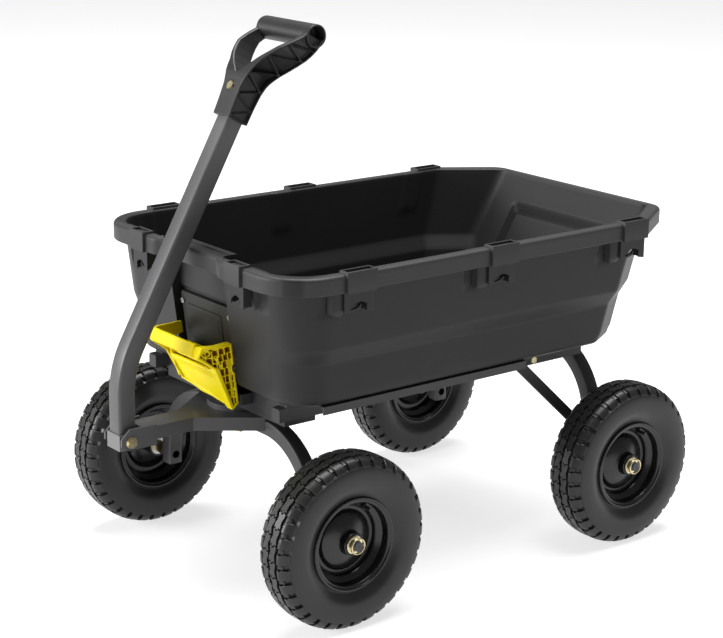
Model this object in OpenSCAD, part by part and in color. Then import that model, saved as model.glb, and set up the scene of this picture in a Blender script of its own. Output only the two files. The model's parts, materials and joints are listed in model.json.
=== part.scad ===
// Garden cart with a tipping tub, a steered front axle and a folding pull handle.
// Millimetres. +Z is up, the pull handle is at the front (-Y), the cart's left side is +X.
// The origin is on the ground, midway between the nose of the tongue and the tub's rear lip.

/* [Overall] */
// Half of the length from the nose of the tongue to the tub's rear lip
half_length = 578; // [574:1:582]
// Distance from the front axle to the rear axle
wheelbase = 703; // [698:1:706]
// Distance between the centre planes of the left and right wheels
track = 656; // [656:1:664]

/* [Wheels] */
// Outer radius of a tyre
tyre_r = 165; // [162:1:166]
// Width of a tyre across its sidewalls
tyre_w = 90; // [86:1:90]
// Radius of the rim's rolled flange
rim_r = 89; // [88:1:90]
// Radius of a stub axle
axle_r = 8; // [8:1:9]

/* [Tub] */
// Width of the tub across its lip
tub_w = 650; // [646:1:652]
// Length of the tub across its lip
tub_l = 996; // [994:1:998]
// Height of the lip's top above the ground
lip_z = 656; // [654:1:658]
// Height of the floor's underside above the ground
floor_z = 404; // [404:1:406]
// Thickness of the moulded walls
wall = 5; // [4:0.5:5]
// Height of the lip's skirt
lip_h = 33; // [30:1:36]

/* [Frame] */
// Side of the square tube in both arches
arch_tube = 30; // [28:1:30]
// Outer bend radius of both arches
arch_bend_r = 155; // [150:1:156]
// Half of the width across the outer faces of an arch's legs
arch_half_w = 258; // [256:1:260]
// Height of the front arch's top face
front_arch_z = 332; // [330:1:332]
// Height of the rear arch's top face
rear_arch_z = 392; // [391:1:393]

/* [Handle] */
// Width of the handle tube, from left to right
handle_w = 38; // [36:1:38]
// Depth of the handle tube, from front to back
handle_d = 36; // [34:1:36]
// Angle of the handle's upper part from the vertical
handle_lean = 29; // [27:0.5:29]
// Radius of the handle's bend along its centre line
handle_bend_r = 190; // [180:5:200]
// Half of the width across the grip
grip_half_w = 82; // [78:1:82]

/* [Hidden] */
$fn = 64;
eps = 0.01;
run_gap = 0.04;   // radial clearance of a running fit
side_gap = 0.3;   // clearance between faces of different bodies

front_y = -half_length + 280;
rear_y = front_y + wheelbase;
hub_z = tyre_r;
lip_front = half_length - tub_l;
lip_rear = half_length;
corner_steps = 10;

// Tub outlines: [half width, front y, rear y, corner radius, chamfer x, chamfer y]
wall_low = [tub_w / 2 - 43, lip_front + 52, lip_rear - 128, 75, 44, 76];
wall_high = [tub_w / 2 - 19, lip_front + 20, lip_rear - 19, 88, 82, 117];
lip_out = [tub_w / 2, lip_front, lip_rear, 102, 80, 122];
wall_high_z = 640;
// Sloped ledge along the side walls: [height above the ground, half width]
ledge = [[480, tub_w / 2 - 39], [518, tub_w / 2 - 26]];

// Shallow saddle in the front lip, where the handle rests: full depth, then a smooth rise
notch_depth = 12.5;
notch_flat_w = 84;
notch_half_w = 114;
notch_steps = 10;

// Channel in the front wall, from the floor up to the lip
channel_half_w = 92;
channel_y = lip_front + 48;
boss_wall = 6;

// Slanted front panel of the tub: its foot and its angle from the vertical
panel_foot_y = wall_low[1];
panel_tilt = atan((wall_low[1] - wall_high[1]) / (wall_high_z - floor_z));
plate_half_w = 90;
plate_h = 150;
plate_y = 12;     // depth of the plate's face behind the wall
plate_t = 3;
lever_pin_y = 2;  // lever pin in the panel's own axes
lever_pin_z = 37;
lever_pin_r = 4;
lever_half_w = 82;

// Frame rails
rail_w = 25;
rail_z = 368;
rail_h = 25;
rail_x = 196;
rail_front = front_y - 62;
tub_gap_z = rail_z + rail_h;
catch_half_w = 95;  // half width of the bar that the lever's tooth catches
arch_wall = 2.5;
leg_drop = 18;    // how far the arches' legs reach below the axle

// Front pivot
king_r = 8;
yoke_t = 6;
yoke_drop = 20;   // height of the drawbar's folded sides
yoke_z = front_arch_z;
tongue_half_w = 27;
tongue_front = front_y - 229;
turntable_r = 62;
turntable_t = 5;
cross_z = yoke_z + yoke_t + 2 * turntable_t + side_gap;

// Tub hinge
hinge_y = rear_y + 29;
hinge_z = 355;
hinge_r = 6;

// Handle pivot, in the plane x = 0
pivot_y = front_y - 260;
pivot_z = 318;
pivot_r = 6;
ear_t = 4.5;
foot_gap = 4.6;
foot_t = 3;
tube_bottom = 301;
bend_start_z = 400;
tube_y = front_y - 259;
lean_len = 520;   // length of the handle's straight upper part
handle_wall = 2;
bend_steps = 24;

well_r = 64;      // inner radius of the rim's drop centre

// Grip
grip_base = 449;  // where the grip's collar starts, along the upper part
grip_bolt_at = grip_base + 56;
grip_bolt_r = 4;
bar_r = 22;       // round bar of the grip and its place in the grip's axes
bar_y = 46;
bar_z = 198;

sides = [-1, 1];

// Tie-down blocks of the lip
clip_w = 66;
front_clip_w = 48;
clip_drop = 71;
clip_rows = [front_y + 37, front_y + 374, front_y + 718];
front_clip_x = 160;

// Bolts of the braces and rails
brace_y = front_y + 511;
rail_bolt_y = front_y + 554;
frame_bolt_z = rail_z + 10;
leg_bolt_z = hub_z + 37;
frame_bolt_r = 4;
nut_across = 13;

// ---------------------------------------------------------------- helpers

// Points of a tub outline with round front corners and chamfered rear corners
function tub_outline(o, inset = 0) =
    let (w = o[0] - inset, f = o[1] + inset, b = o[2] - inset, r = o[3] - inset,
         cx = o[4] - inset / 2, cy = o[5] - inset / 2)
    concat(
        [[w - cx, b], [w, b - cy]],
        [for (i = [0 : corner_steps]) let (a = -90 * i / corner_steps)
            [w - r + r * cos(a), f + r + r * sin(a)]],
        [for (i = [0 : corner_steps]) let (a = -90 - 90 * i / corner_steps)
            [-w + r + r * cos(a), f + r + r * sin(a)]],
        [[-w, b - cy], [-w + cx, b]]);

// A flat slab of a tub outline
module slab(o, z, t, inset = 0) {
    translate([0, 0, z]) linear_extrude(t) polygon(tub_outline(o, inset));
}

// A cylinder along X that is centred at x
module x_cylinder(r, x0, x1, y, z) {
    translate([x0, y, z]) rotate([0, 90, 0]) cylinder(r = r, h = x1 - x0);
}

// A hexagonal head or nut along X
module x_hex(across, x0, x1, y, z) {
    translate([x0, y, z]) rotate([0, 90, 0]) cylinder(d = across / cos(30), h = x1 - x0, $fn = 6);
}

// Both sides of the cart
module both_sides() {
    for (s = sides) scale_x(s) children();
}
module scale_x(s) {
    if (s > 0) children();
    else mirror([1, 0, 0]) children();
}

// Moves a child into the axes of the tub's slanted front panel
module on_panel() {
    translate([0, panel_foot_y, floor_z]) rotate([panel_tilt, 0, 0]) children();
}

// Extrudes a side profile, given as [y, z] points, between two x values
module side_extrude(x0, x1) {
    translate([x0, 0, 0]) rotate([90, 0, 90]) linear_extrude(x1 - x0) children();
}

// Moves a child onto the leaning axis of the handle, with z' along the tube
module on_handle(along) {
    translate([0, tube_y + handle_bend_r * (1 - cos(handle_lean)),
               bend_start_z + handle_bend_r * sin(handle_lean)])
        rotate([-handle_lean, 0, 0]) translate([0, 0, along]) children();
}

// ---------------------------------------------------------------- tub

// Outline of the walls at the ledge's lower or upper edge
function ledge_outline(i) =
    let (share = (ledge[i][0] - floor_z) / (wall_high_z - floor_z))
    [for (k = [0 : len(wall_low) - 1])
        k == 0 ? ledge[i][1] : wall_low[k] + share * (wall_high[k] - wall_low[k])];

// Tapered shell between two outlines at two heights
module shell_part(low, low_z, high, high_z, inset) {
    hull() {
        slab(low, low_z, eps, inset);
        slab(high, high_z, eps, inset);
    }
}

// The walls' solid in three parts, with the sloped ledge in the middle
module tub_shell(bottom_z, top_z, inset) {
    shell_part(wall_low, bottom_z, ledge_outline(0), ledge[0][0], inset);
    shell_part(ledge_outline(0), ledge[0][0], ledge_outline(1), ledge[1][0], inset);
    shell_part(ledge_outline(1), ledge[1][0], wall_high, top_z, inset);
}

module lip() {
    difference() {
        slab(lip_out, lip_z - lip_h, lip_h);
        slab(lip_out, lip_z - lip_h - 1, lip_h - wall + 1, wall);
    }
}

// Tie-down block of the lip, with a shallow slot on top; it hangs below the lip
module clip(w) {
    difference() {
        translate([-w / 2, -6, lip_z - clip_drop]) cube([w, 27, clip_drop + 5]);
        translate([-w / 2 + 10, 0, lip_z - 4]) cube([w - 20, 11, 20]);
        translate([-w / 2 - 1, -7, lip_z - clip_drop - 1]) cube([w + 2, 8, 16]);
    }
}

// Front edge of the saddle in plan at x
function notch_y(x) =
    let (t = min(1, max(0, (abs(x) - notch_flat_w) / (notch_half_w - notch_flat_w))))
    lip_front + notch_depth * (1 - t * t * (3 - 2 * t));

// Saddle outline from one side to the other, closed along a straight line at y
module notch_plan(y) {
    polygon(concat([[-notch_half_w, y], [notch_half_w, y]],
        [for (i = [notch_steps : -1 : -notch_steps]) let (x = i * notch_half_w / notch_steps)
            [x, notch_y(x) - (abs(i) == notch_steps ? 1 : 0)]]));
}

module tub() {
    color([0.16, 0.16, 0.165])
    difference() {
        union() {
            difference() {
                tub_outside();
                tub_shell(floor_z + wall, lip_z + 10, wall);
            }
            channel_boss();
        }
        translate([0, 0, lip_z - lip_h - 1]) linear_extrude(lip_h + 12) notch_plan(lip_front - 20);
        channel();
    }
}

// A point [y, z] that is given in the slanted front panel's axes
function panel_point(y, z) = [panel_foot_y, floor_z]
    + y * [cos(panel_tilt), sin(panel_tilt)] + z * [-sin(panel_tilt), cos(panel_tilt)];

// Walls of the channel, and of the lip where the saddle cuts into it
module channel_boss() {
    half_w = channel_half_w + boss_wall;
    back = plate_y + plate_t + boss_wall;
    side_extrude(-half_w, half_w) polygon([
        panel_point(1, 0.5), panel_point(back, 0.5), panel_point(back, plate_h),
        [channel_y + boss_wall, floor_z + plate_h + 10], [channel_y + boss_wall, lip_z],
        [lip_front + 16, lip_z], [lip_front + 16, lip_z - 20], panel_point(1, plate_h + 60)]);
    translate([-notch_half_w + 4, lip_front + 1, lip_z - lip_h + 0.5])
        cube([2 * notch_half_w - 8, notch_depth + wall - 1, lip_h - 0.5]);
}

// The channel's space, open to the front and below
module channel() {
    back = plate_y + plate_t;
    side_extrude(-channel_half_w, channel_half_w) polygon([
        [lip_front - 20, floor_z - 14], panel_point(back, -12), panel_point(back, plate_h + 2),
        [channel_y, floor_z + plate_h + 6], [channel_y, lip_z - lip_h - 0.5],
        [lip_front - 20, lip_z - lip_h - 0.5]]);
}

// Lip, outer shell and tie-down blocks
module tub_outside() {
    lip();
    tub_shell(floor_z, wall_high_z, 0);
    both_sides() for (y = clip_rows)
        translate([tub_w / 2, y, 0]) rotate([0, 0, 90]) clip(clip_w);
    for (s = sides) translate([s * front_clip_x, lip_front, 0]) clip(front_clip_w);
}

module tub_runners() {
    color([0.2, 0.2, 0.21])
    both_sides() translate([rail_x, rail_front + 14, tub_gap_z + side_gap])
        cube([rail_w, wheelbase + 30, floor_z - tub_gap_z - side_gap]);
}

module tub_side_rails() {
    color([0.22, 0.22, 0.23])
    both_sides() translate([tub_w / 2 - 63, front_y - 10, floor_z - 15]) difference() {
        cube([20, 490, 15]);
        translate([-1, -1, -1]) cube([17, 492, 12]);
    }
}

module hinge_lugs() {
    color([0.25, 0.25, 0.26])
    both_sides() difference() {
        side_extrude(108, 114) difference() {
            union() {
                translate([hinge_y, hinge_z]) circle(r = 12);
                translate([hinge_y - 12, hinge_z]) square([24, floor_z - hinge_z]);
            }
            translate([hinge_y, hinge_z]) circle(r = hinge_r + run_gap);
        }
    }
}

// ---------------------------------------------------------------- release lever

module latch_plate() {
    color([0.13, 0.13, 0.135])
    on_panel() {
        translate([-plate_half_w, plate_y, 0]) cube([2 * plate_half_w, plate_t, plate_h]);
        for (s = sides) difference() {
            translate([s > 0 ? lever_half_w + 1 : -lever_half_w - 6, -4, lever_pin_z - 8])
                cube([5, plate_y + 4, 16]);
            x_cylinder(lever_pin_r, -100, 100, lever_pin_y, lever_pin_z);
        }
    }
}

module latch_screws() {
    color([0.75, 0.72, 0.6])
    on_panel() for (s = sides, z = [22, 130])
        translate([s * 78, plate_y, z]) rotate([90, 0, 0]) difference() {
            cylinder(r = 5, h = 3);
            translate([0, 0, 1.5]) cylinder(d = 5, h = 3, $fn = 6);
        }
}

module lever_pin() {
    color([0.7, 0.68, 0.6])
    on_panel() x_cylinder(lever_pin_r, -lever_half_w - 10, lever_half_w + 10, lever_pin_y, lever_pin_z);
}

// Torsion spring around the pin, in a gap of the lever
module lever_spring() {
    color([0.6, 0.6, 0.6])
    on_panel() for (i = [0 : 5])
        translate([-6 + 2.4 * i, lever_pin_y, lever_pin_z]) rotate([0, 90, 0])
            rotate_extrude() translate([lever_pin_r + 1.4, 0]) circle(r = 1.2);
}

module release_lever() {
    color([0.92, 0.9, 0.08])
    on_panel() difference() {
        intersection() {
            side_extrude(-lever_half_w, lever_half_w) union() {
                polygon([[3, 98], [-61, 96], [-70, 76], [-39, 44], [-21, -18], [-15, -29],
                         [-6, -29], [-6, 20], [3, 60]]);
                translate([lever_pin_y, lever_pin_z]) circle(r = 8);
            }
            translate([0, 100, 0]) rotate([90, 0, 0]) linear_extrude(200) polygon([
                [-82, 100], [82, 100], [82, -30], [60, -30], [-56, -18], [-74, 44], [-82, 60]]);
        }
        side_extrude(-72, 72) polygon([[-56, 110], [-56, 80], [-40, 62], [-10, 62], [-10, 110]]);
        x_cylinder(lever_pin_r + run_gap, -100, 100, lever_pin_y, lever_pin_z);
        translate([-11, -10, lever_pin_z - 16]) cube([22, 30, 32]);
    }
}

// Steel tooth at the lever's foot, which catches the frame's crossmember
module latch_tooth() {
    color([0.8, 0.75, 0.2])
    on_panel() side_extrude(-60, 78)
        polygon([[-6, -29], [-2, -29], [2, -12], [-1, -10], [-3, -24], [-6, -24]]);
}

// ---------------------------------------------------------------- frame

module rail(s) {
    color([0.24, 0.24, 0.25])
    scale_x(s) difference() {
        translate([rail_x, rail_front, rail_z])
            cube([rail_w, rear_y - arch_tube / 2 - rail_front, rail_h]);
        translate([rail_x + 2.5, rail_front - 1, rail_z + 2.5])
            cube([rail_w - 5, rear_y - arch_tube / 2 - rail_front - 4, rail_h - 5]);
        for (y = [brace_y, rail_bolt_y])
            x_cylinder(frame_bolt_r, rail_x - 1, rail_x + rail_w + 1, y, frame_bolt_z);
    }
}

// Channel between the rails that carries the kingpin and catches the lever's tooth
module front_crossmember() {
    color([0.24, 0.24, 0.25])
    difference() {
        union() {
            translate([-rail_x, front_y - 35, cross_z]) cube([2 * rail_x, 70, tub_gap_z - cross_z]);
            translate([-catch_half_w, rail_front + 2, rail_z]) cube([2 * catch_half_w, 30, 20]);
        }
        for (x = [-192, -112, 36, 116])
            translate([x, front_y - 31, cross_z - 1]) cube([76, 62, tub_gap_z - cross_z - 4]);
        translate([-catch_half_w + 4, rail_front + 6, rail_z - 1]) cube([2 * catch_half_w - 8, 21, 17]);
        translate([0, front_y, cross_z - 1]) cylinder(r = king_r, h = 120);
    }
}

// Square tube bent into an arch: a straight crown, two round bends and two legs
module arch_bar(y, top_z, leg_z, inset) {
    straight = arch_half_w - arch_bend_r;
    bend_z = top_z - arch_bend_r;
    side = arch_tube - 2 * inset;
    outer_r = arch_bend_r - inset;
    translate([0, y + side / 2, 0]) rotate([90, 0, 0]) linear_extrude(side) union() {
        translate([-straight, top_z - inset - side]) square([2 * straight, side]);
        for (s = sides) intersection() {
            translate([s * straight, bend_z]) difference() {
                circle(r = outer_r, $fn = 128);
                circle(r = outer_r - side, $fn = 128);
            }
            translate([s > 0 ? straight : -arch_half_w - 1, bend_z])
                square([arch_bend_r + 1, arch_bend_r + 1]);
        }
        for (s = sides)
            translate([s > 0 ? arch_half_w - inset - side : -arch_half_w + inset, leg_z + inset])
                square([side, bend_z - leg_z - inset]);
    }
}

module arch(y, top_z) {
    difference() {
        arch_bar(y, top_z, hub_z - leg_drop, 0);
        arch_bar(y, top_z, hub_z - leg_drop, arch_wall);
    }
}

module arch_bores(y) {
    x_cylinder(axle_r, -arch_half_w - 1, arch_half_w + 1, y, hub_z);
}

module rear_arch() {
    color([0.26, 0.26, 0.27])
    difference() {
        arch(rear_y, rear_arch_z);
        arch_bores(rear_y);
        x_cylinder(frame_bolt_r, -arch_half_w - 1, arch_half_w + 1, rear_y, leg_bolt_z);
    }
}

// Flat bar from a rail down to the rear arch's leg
module brace(s) {
    top = [brace_y, frame_bolt_z];
    foot = [rear_y, leg_bolt_z];
    run = foot - top;
    length = norm(run);
    color([0.2, 0.2, 0.21])
    scale_x(s) difference() {
        translate([rail_x + rail_w, top[0], top[1]])
            rotate([atan2(run[1], run[0]), 0, 0]) union() {
                translate([0, 0, -11]) cube([5, length, 22]);
                rotate([0, 90, 0]) cylinder(r = 11, h = 5);
                translate([0, length, 0]) rotate([0, 90, 0]) cylinder(r = 11, h = 5);
            }
        x_cylinder(frame_bolt_r, rail_x, rail_x + 60, top[0], top[1]);
        x_cylinder(frame_bolt_r, rail_x, rail_x + 60, foot[0], foot[1]);
    }
}

// Bolt through a plate from x0 to x1, with a hexagonal head and nut
module frame_bolt(x0, x1, y, z) {
    x_cylinder(frame_bolt_r, x0, x1, y, z);
    x_hex(nut_across, x1, x1 + 5, y, z);
    x_hex(nut_across, x0 - 6, x0, y, z);
}

module frame_bolts() {
    color([0.78, 0.68, 0.35])
    both_sides() {
        frame_bolt(rail_x, rail_x + rail_w + 5, brace_y, frame_bolt_z);
        frame_bolt(rail_x, rail_x + rail_w, rail_bolt_y, frame_bolt_z);
        frame_bolt(rail_x + rail_w, arch_half_w, rear_y, leg_bolt_z);
    }
}

module hinge_brackets() {
    color([0.24, 0.24, 0.25])
    both_sides() side_extrude(100, 107.7) difference() {
        union() {
            translate([hinge_y, hinge_z]) circle(r = 13);
            translate([rear_y + arch_tube / 2, hinge_z - 13])
                square([hinge_y - rear_y - arch_tube / 2, 44]);
        }
        translate([hinge_y, hinge_z]) circle(r = hinge_r);
    }
}

module hinge_rod() {
    color([0.7, 0.66, 0.5]) {
        x_cylinder(hinge_r, -119, 119, hinge_y, hinge_z);
        both_sides() x_cylinder(9, 119, 122, hinge_y, hinge_z);
    }
}

// ---------------------------------------------------------------- steering

module kingpin() {
    color([0.7, 0.66, 0.5])
    translate([0, front_y, 0]) {
        translate([0, 0, 280]) cylinder(r = king_r, h = tub_gap_z - 280 - 10);
        translate([0, 0, front_arch_z - arch_tube - side_gap - 3]) cylinder(r = 15, h = 3);
        translate([0, 0, 288]) cylinder(d = 22, h = front_arch_z - arch_tube - side_gap - 3 - 288, $fn = 6);
    }
}

module upper_turntable() {
    color([0.3, 0.3, 0.31])
    translate([0, front_y, yoke_z + yoke_t + turntable_t + side_gap]) difference() {
        cylinder(r = turntable_r, h = turntable_t);
        translate([0, 0, -1]) cylinder(r = king_r, h = 10);
    }
}

module lower_turntable() {
    color([0.3, 0.3, 0.31])
    translate([0, front_y, yoke_z + yoke_t]) difference() {
        cylinder(r = turntable_r, h = turntable_t);
        translate([0, 0, -1]) cylinder(r = king_r + run_gap, h = 10);
    }
}

module front_arch() {
    color([0.28, 0.28, 0.29])
    difference() {
        arch(front_y, front_arch_z);
        arch_bores(front_y);
        translate([0, front_y, 0]) cylinder(r = king_r + run_gap, h = 400);
    }
}

// Half of the yoke's plan, from its nose to the arch, pulled in by an inset
function yoke_side(inset) = [
    [tongue_half_w - inset, tongue_front], [tongue_half_w - inset, front_y - 123 + inset / 3],
    [106 - inset, front_y - arch_tube / 2]];

module yoke_plan(inset) {
    right = yoke_side(inset);
    polygon(concat(right, [for (i = [len(right) - 1 : -1 : 0]) [-right[i][0], right[i][1]]]));
}

// Pressed drawbar: a top plate with two folded sides that open out to the arch
module yoke() {
    color([0.28, 0.28, 0.29])
    difference() {
        union() {
            translate([0, 0, yoke_z]) linear_extrude(yoke_t) union() {
                yoke_plan(0);
                translate([-106, front_y - arch_tube / 2 - eps]) square([212, arch_tube]);
            }
            translate([0, 0, yoke_z - yoke_drop]) linear_extrude(yoke_drop + eps) difference() {
                yoke_plan(0);
                yoke_plan(4.5);
            }
        }
        translate([0, front_y, 0]) cylinder(r = king_r + run_gap, h = 400);
    }
}

// Chamfered ears on both sides of the drawbar's nose
module clevis_ears() {
    nose = -half_length;
    color([0.27, 0.27, 0.28])
    both_sides() side_extrude(tongue_half_w, tongue_half_w + ear_t) difference() {
        polygon([[nose, 326], [nose + 18, 343], [tongue_front + 24, 343], [tongue_front + 24, 303],
                 [nose + 14, 303], [nose, 312]]);
        translate([pivot_y, pivot_z]) circle(r = pivot_r);
    }
}

module pivot_bushes() {
    color([0.1, 0.1, 0.1])
    both_sides() difference() {
        x_cylinder(13, tongue_half_w - foot_gap, tongue_half_w, pivot_y, pivot_z);
        x_cylinder(pivot_r, 0, 60, pivot_y, pivot_z);
    }
}

module handle_bolt() {
    edge = tongue_half_w + ear_t;
    color([0.78, 0.68, 0.35]) {
        x_cylinder(pivot_r, -edge - 6, edge + 6, pivot_y, pivot_z);
        x_cylinder(11, edge, edge + 1.5, pivot_y, pivot_z);
        x_cylinder(11, -edge - 1.5, -edge, pivot_y, pivot_z);
        x_hex(17, edge + 1.5, edge + 7, pivot_y, pivot_z);
        x_hex(17, -edge - 9, -edge - 1.5, pivot_y, pivot_z);
    }
}

// ---------------------------------------------------------------- axles

module stub_axles(y) {
    inner = arch_half_w - arch_tube;
    color([0.7, 0.66, 0.5])
    both_sides() x_cylinder(axle_r, inner, track / 2 + 45, y, hub_z);
}

module spacers(y) {
    color([0.75, 0.68, 0.4])
    both_sides() difference() {
        x_cylinder(12, arch_half_w, track / 2 - 34 - side_gap, y, hub_z);
        x_cylinder(axle_r, arch_half_w - 1, track / 2, y, hub_z);
    }
}

module washers(y) {
    color([0.8, 0.72, 0.4])
    both_sides() difference() {
        x_cylinder(17, track / 2 + 34 + side_gap, track / 2 + 36.5, y, hub_z);
        x_cylinder(axle_r, track / 2, track / 2 + 50, y, hub_z);
    }
}

module cotter_rings(y) {
    color([0.85, 0.76, 0.42])
    both_sides() translate([track / 2 + 40, y, hub_z]) {
        translate([1, -5, 0]) rotate([0, 90, 0])
            rotate_extrude() translate([13, 0]) circle(r = 1.3);
        translate([0, 0, -13]) cylinder(r = 1.5, h = 26);
    }
}

// ---------------------------------------------------------------- handle

module handle_profile(grow = 0) {
    square([handle_w + 2 * grow, handle_d + 2 * grow], center = true);
}

// One edge of the bent tube's side view, at an offset from the tube's centre line
function handle_edge(offset, reach) =
    let (r = handle_bend_r - offset, centre = [tube_y + handle_bend_r, bend_start_z],
         up = [sin(handle_lean), cos(handle_lean)])
    concat([[tube_y + offset, tube_bottom - reach]],
        [for (i = [0 : bend_steps]) let (a = handle_lean * i / bend_steps)
            centre + r * [-cos(a), sin(a)]],
        [centre + r * [-cos(handle_lean), sin(handle_lean)] + (lean_len + reach) * up]);

// The bent tube's solid, shrunk by an inset; reach makes it longer at both ends
module handle_bar(inset, reach = 0) {
    half_d = handle_d / 2 - inset;
    rear = handle_edge(half_d, reach);
    side_extrude(-handle_w / 2 + inset, handle_w / 2 - inset)
        polygon(concat(handle_edge(-half_d, reach), [for (i = [len(rear) - 1 : -1 : 0]) rear[i]]));
}

module handle_tube() {
    color([0.33, 0.33, 0.34])
    difference() {
        handle_bar(0);
        handle_bar(handle_wall, 1);
        x_cylinder(pivot_r + run_gap, -60, 60, pivot_y, pivot_z);
        on_handle(grip_bolt_at) rotate([90, 0, 0]) cylinder(r = grip_bolt_r, h = 80, center = true);
    }
}

// Steel shoe around the tube's lower end
module handle_foot() {
    color([0.36, 0.36, 0.37])
    difference() {
        translate([0, tube_y, tube_bottom]) linear_extrude(30) difference() {
            square([handle_w + 2 * foot_t, handle_d + 4], center = true);
            handle_profile();
        }
        x_cylinder(pivot_r + run_gap, -60, 60, pivot_y, pivot_z);
    }
}

// Side profile of the grip, in the axes of the leaning tube
module grip_side() {
    polygon([[-24, 0], [-30, 86], [-27, 118], [-12, 150], [10, 176], [30, 196],
             [bar_y, bar_z], [58, 186], [55, 160], [45, 138], [24, 84], [22, 0]]);
}

// Front outline of the grip: a collar that opens into a D
module grip_front() {
    difference() {
        polygon([[-27, 0], [27, 0], [28, 60], [42, 100], [grip_half_w - 6, 150],
                 [grip_half_w, 174], [grip_half_w, 222], [-grip_half_w, 222], [-grip_half_w, 174],
                 [-grip_half_w + 6, 150], [-42, 100], [-28, 60]]);
        polygon([[-8, 84], [8, 84], [30, 104], [grip_half_w - 18, 150], [grip_half_w - 12, 174],
                 [-grip_half_w + 12, 174], [-grip_half_w + 18, 150], [-30, 104]]);
    }
}

module grip() {
    color([0.17, 0.17, 0.175])
    difference() {
        on_handle(grip_base) union() {
            intersection() {
                side_extrude(-grip_half_w - 1, grip_half_w + 1) grip_side();
                translate([0, 100, 0]) rotate([90, 0, 0]) linear_extrude(200) grip_front();
            }
            x_cylinder(bar_r, -grip_half_w, grip_half_w, bar_y, bar_z);
        }
        on_handle(0) linear_extrude(lean_len) handle_profile();
        on_handle(grip_bolt_at) rotate([90, 0, 0]) cylinder(r = grip_bolt_r, h = 80, center = true);
    }
}

module grip_bolts() {
    color([0.8, 0.72, 0.4])
    on_handle(grip_bolt_at) rotate([90, 0, 0]) {
        translate([0, 0, -24]) cylinder(r = grip_bolt_r, h = 53);
        translate([0, 0, 28.5]) cylinder(r = 8, h = 3);
        translate([0, 0, -28.5]) cylinder(d = nut_across, h = 5, $fn = 6);
    }
}

// ---------------------------------------------------------------- wheels

// Places a wheel part: local z points out of the cart along its axle
module at_wheel(s, y) {
    scale_x(s) translate([track / 2, y, hub_z]) rotate([0, 90, 0]) children();
}

// Half of the tyre's outer skin, from bead to crown, as [radius, offset]
function tyre_skin() = [
    [80.2, 23], [80.2, 31.1], [89.4, 31.1], [92, 34.5], [103, tyre_w / 2 - 4], [122, tyre_w / 2],
    [140, tyre_w / 2 - 1], [152, tyre_w / 2 - 5], [160, tyre_w / 2 - 11],
    [tyre_r - 1, tyre_w / 2 - 20], [tyre_r, tyre_w / 2 - 30]];
function tyre_lining() = [
    [tyre_r - 10, 12], [tyre_r - 14, 26], [140, tyre_w / 2 - 10], [122, tyre_w / 2 - 8],
    [104, tyre_w / 2 - 12], [90, 27]];
function mirrored(points) =
    [for (i = [len(points) - 1 : -1 : 0]) [points[i][0], -points[i][1]]];

module tyre(s, y) {
    color([0.14, 0.14, 0.14])
    at_wheel(s, y) rotate_extrude($fn = 128)
        polygon(concat(tyre_skin(), mirrored(tyre_skin()), mirrored(tyre_lining()), tyre_lining()));
}

// Pressed rim with rolled flanges and a drop centre
module rim(s, y) {
    color([0.09, 0.09, 0.095])
    at_wheel(s, y) rotate_extrude($fn = 128) polygon([
        [rim_r, 36], [rim_r, 31.4], [80, 31.4], [80, 21], [67, 12], [67, -12], [80, -21],
        [80, -31.4], [rim_r, -31.4], [rim_r, -36], [rim_r - 3, -36], [rim_r - 4, -34],
        [77.4, -34], [77.4, -20], [well_r, -11], [well_r, 11], [77.4, 20], [77.4, 34],
        [rim_r - 4, 34], [rim_r - 3, 36]]);
}

// Domed disc with the hub tube, welded into the rim's drop centre
module hub(s, y) {
    color([0.09, 0.09, 0.095])
    at_wheel(s, y) rotate_extrude($fn = 128) polygon([
        [17.5, -34], [21, -34], [21, 15.2], [34, 13.4], [45, 8.6], [56, 1.4], [well_r, -0.6],
        [well_r, 2], [57, 4], [46, 11], [34, 16], [21, 18], [21, 34], [17.5, 34]]);
}

module bearings(s, y) {
    color([0.45, 0.45, 0.46])
    at_wheel(s, y) for (z = [-34, 23]) translate([0, 0, z]) rotate_extrude()
        translate([axle_r + run_gap, 0]) square([17.5 - axle_r - run_gap, 11]);
}

module valve(s, y) {
    color([0.08, 0.08, 0.08])
    at_wheel(s, y) rotate([0, 0, 150]) translate([69, 0, 12]) union() {
        cylinder(r = 5, h = 8);
        cylinder(r = 3.4, h = 25);
    }
}

// ---------------------------------------------------------------- nodes

tub();
tub_runners();
tub_side_rails();
hinge_lugs();
latch_plate();
latch_screws();
lever_pin();
lever_spring();
release_lever();
latch_tooth();
rail(1);  // left_rail
rail(-1);  // right_rail
front_crossmember();
rear_arch();
brace(1);  // left_brace
brace(-1);  // right_brace
frame_bolts();
hinge_brackets();
hinge_rod();
kingpin();
upper_turntable();
stub_axles(rear_y);  // rear_stub_axles
spacers(rear_y);  // rear_spacers
washers(rear_y);  // rear_washers
cotter_rings(rear_y);  // rear_cotter_rings
yoke();
front_arch();
lower_turntable();
clevis_ears();
pivot_bushes();
handle_bolt();
stub_axles(front_y);  // front_stub_axles
spacers(front_y);  // front_spacers
washers(front_y);  // front_washers
cotter_rings(front_y);  // front_cotter_rings
handle_tube();
handle_foot();
grip();
grip_bolts();
tyre(1, front_y);  // front_left_tyre
rim(1, front_y);  // front_left_rim
hub(1, front_y);  // front_left_hub
bearings(1, front_y);  // front_left_bearings
valve(1, front_y);  // front_left_valve
tyre(-1, front_y);  // front_right_tyre
rim(-1, front_y);  // front_right_rim
hub(-1, front_y);  // front_right_hub
bearings(-1, front_y);  // front_right_bearings
valve(-1, front_y);  // front_right_valve
tyre(1, rear_y);  // rear_left_tyre
rim(1, rear_y);  // rear_left_rim
hub(1, rear_y);  // rear_left_hub
bearings(1, rear_y);  // rear_left_bearings
valve(1, rear_y);  // rear_left_valve
tyre(-1, rear_y);  // rear_right_tyre
rim(-1, rear_y);  // rear_right_rim
hub(-1, rear_y);  // rear_right_hub
bearings(-1, rear_y);  // rear_right_bearings
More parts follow.
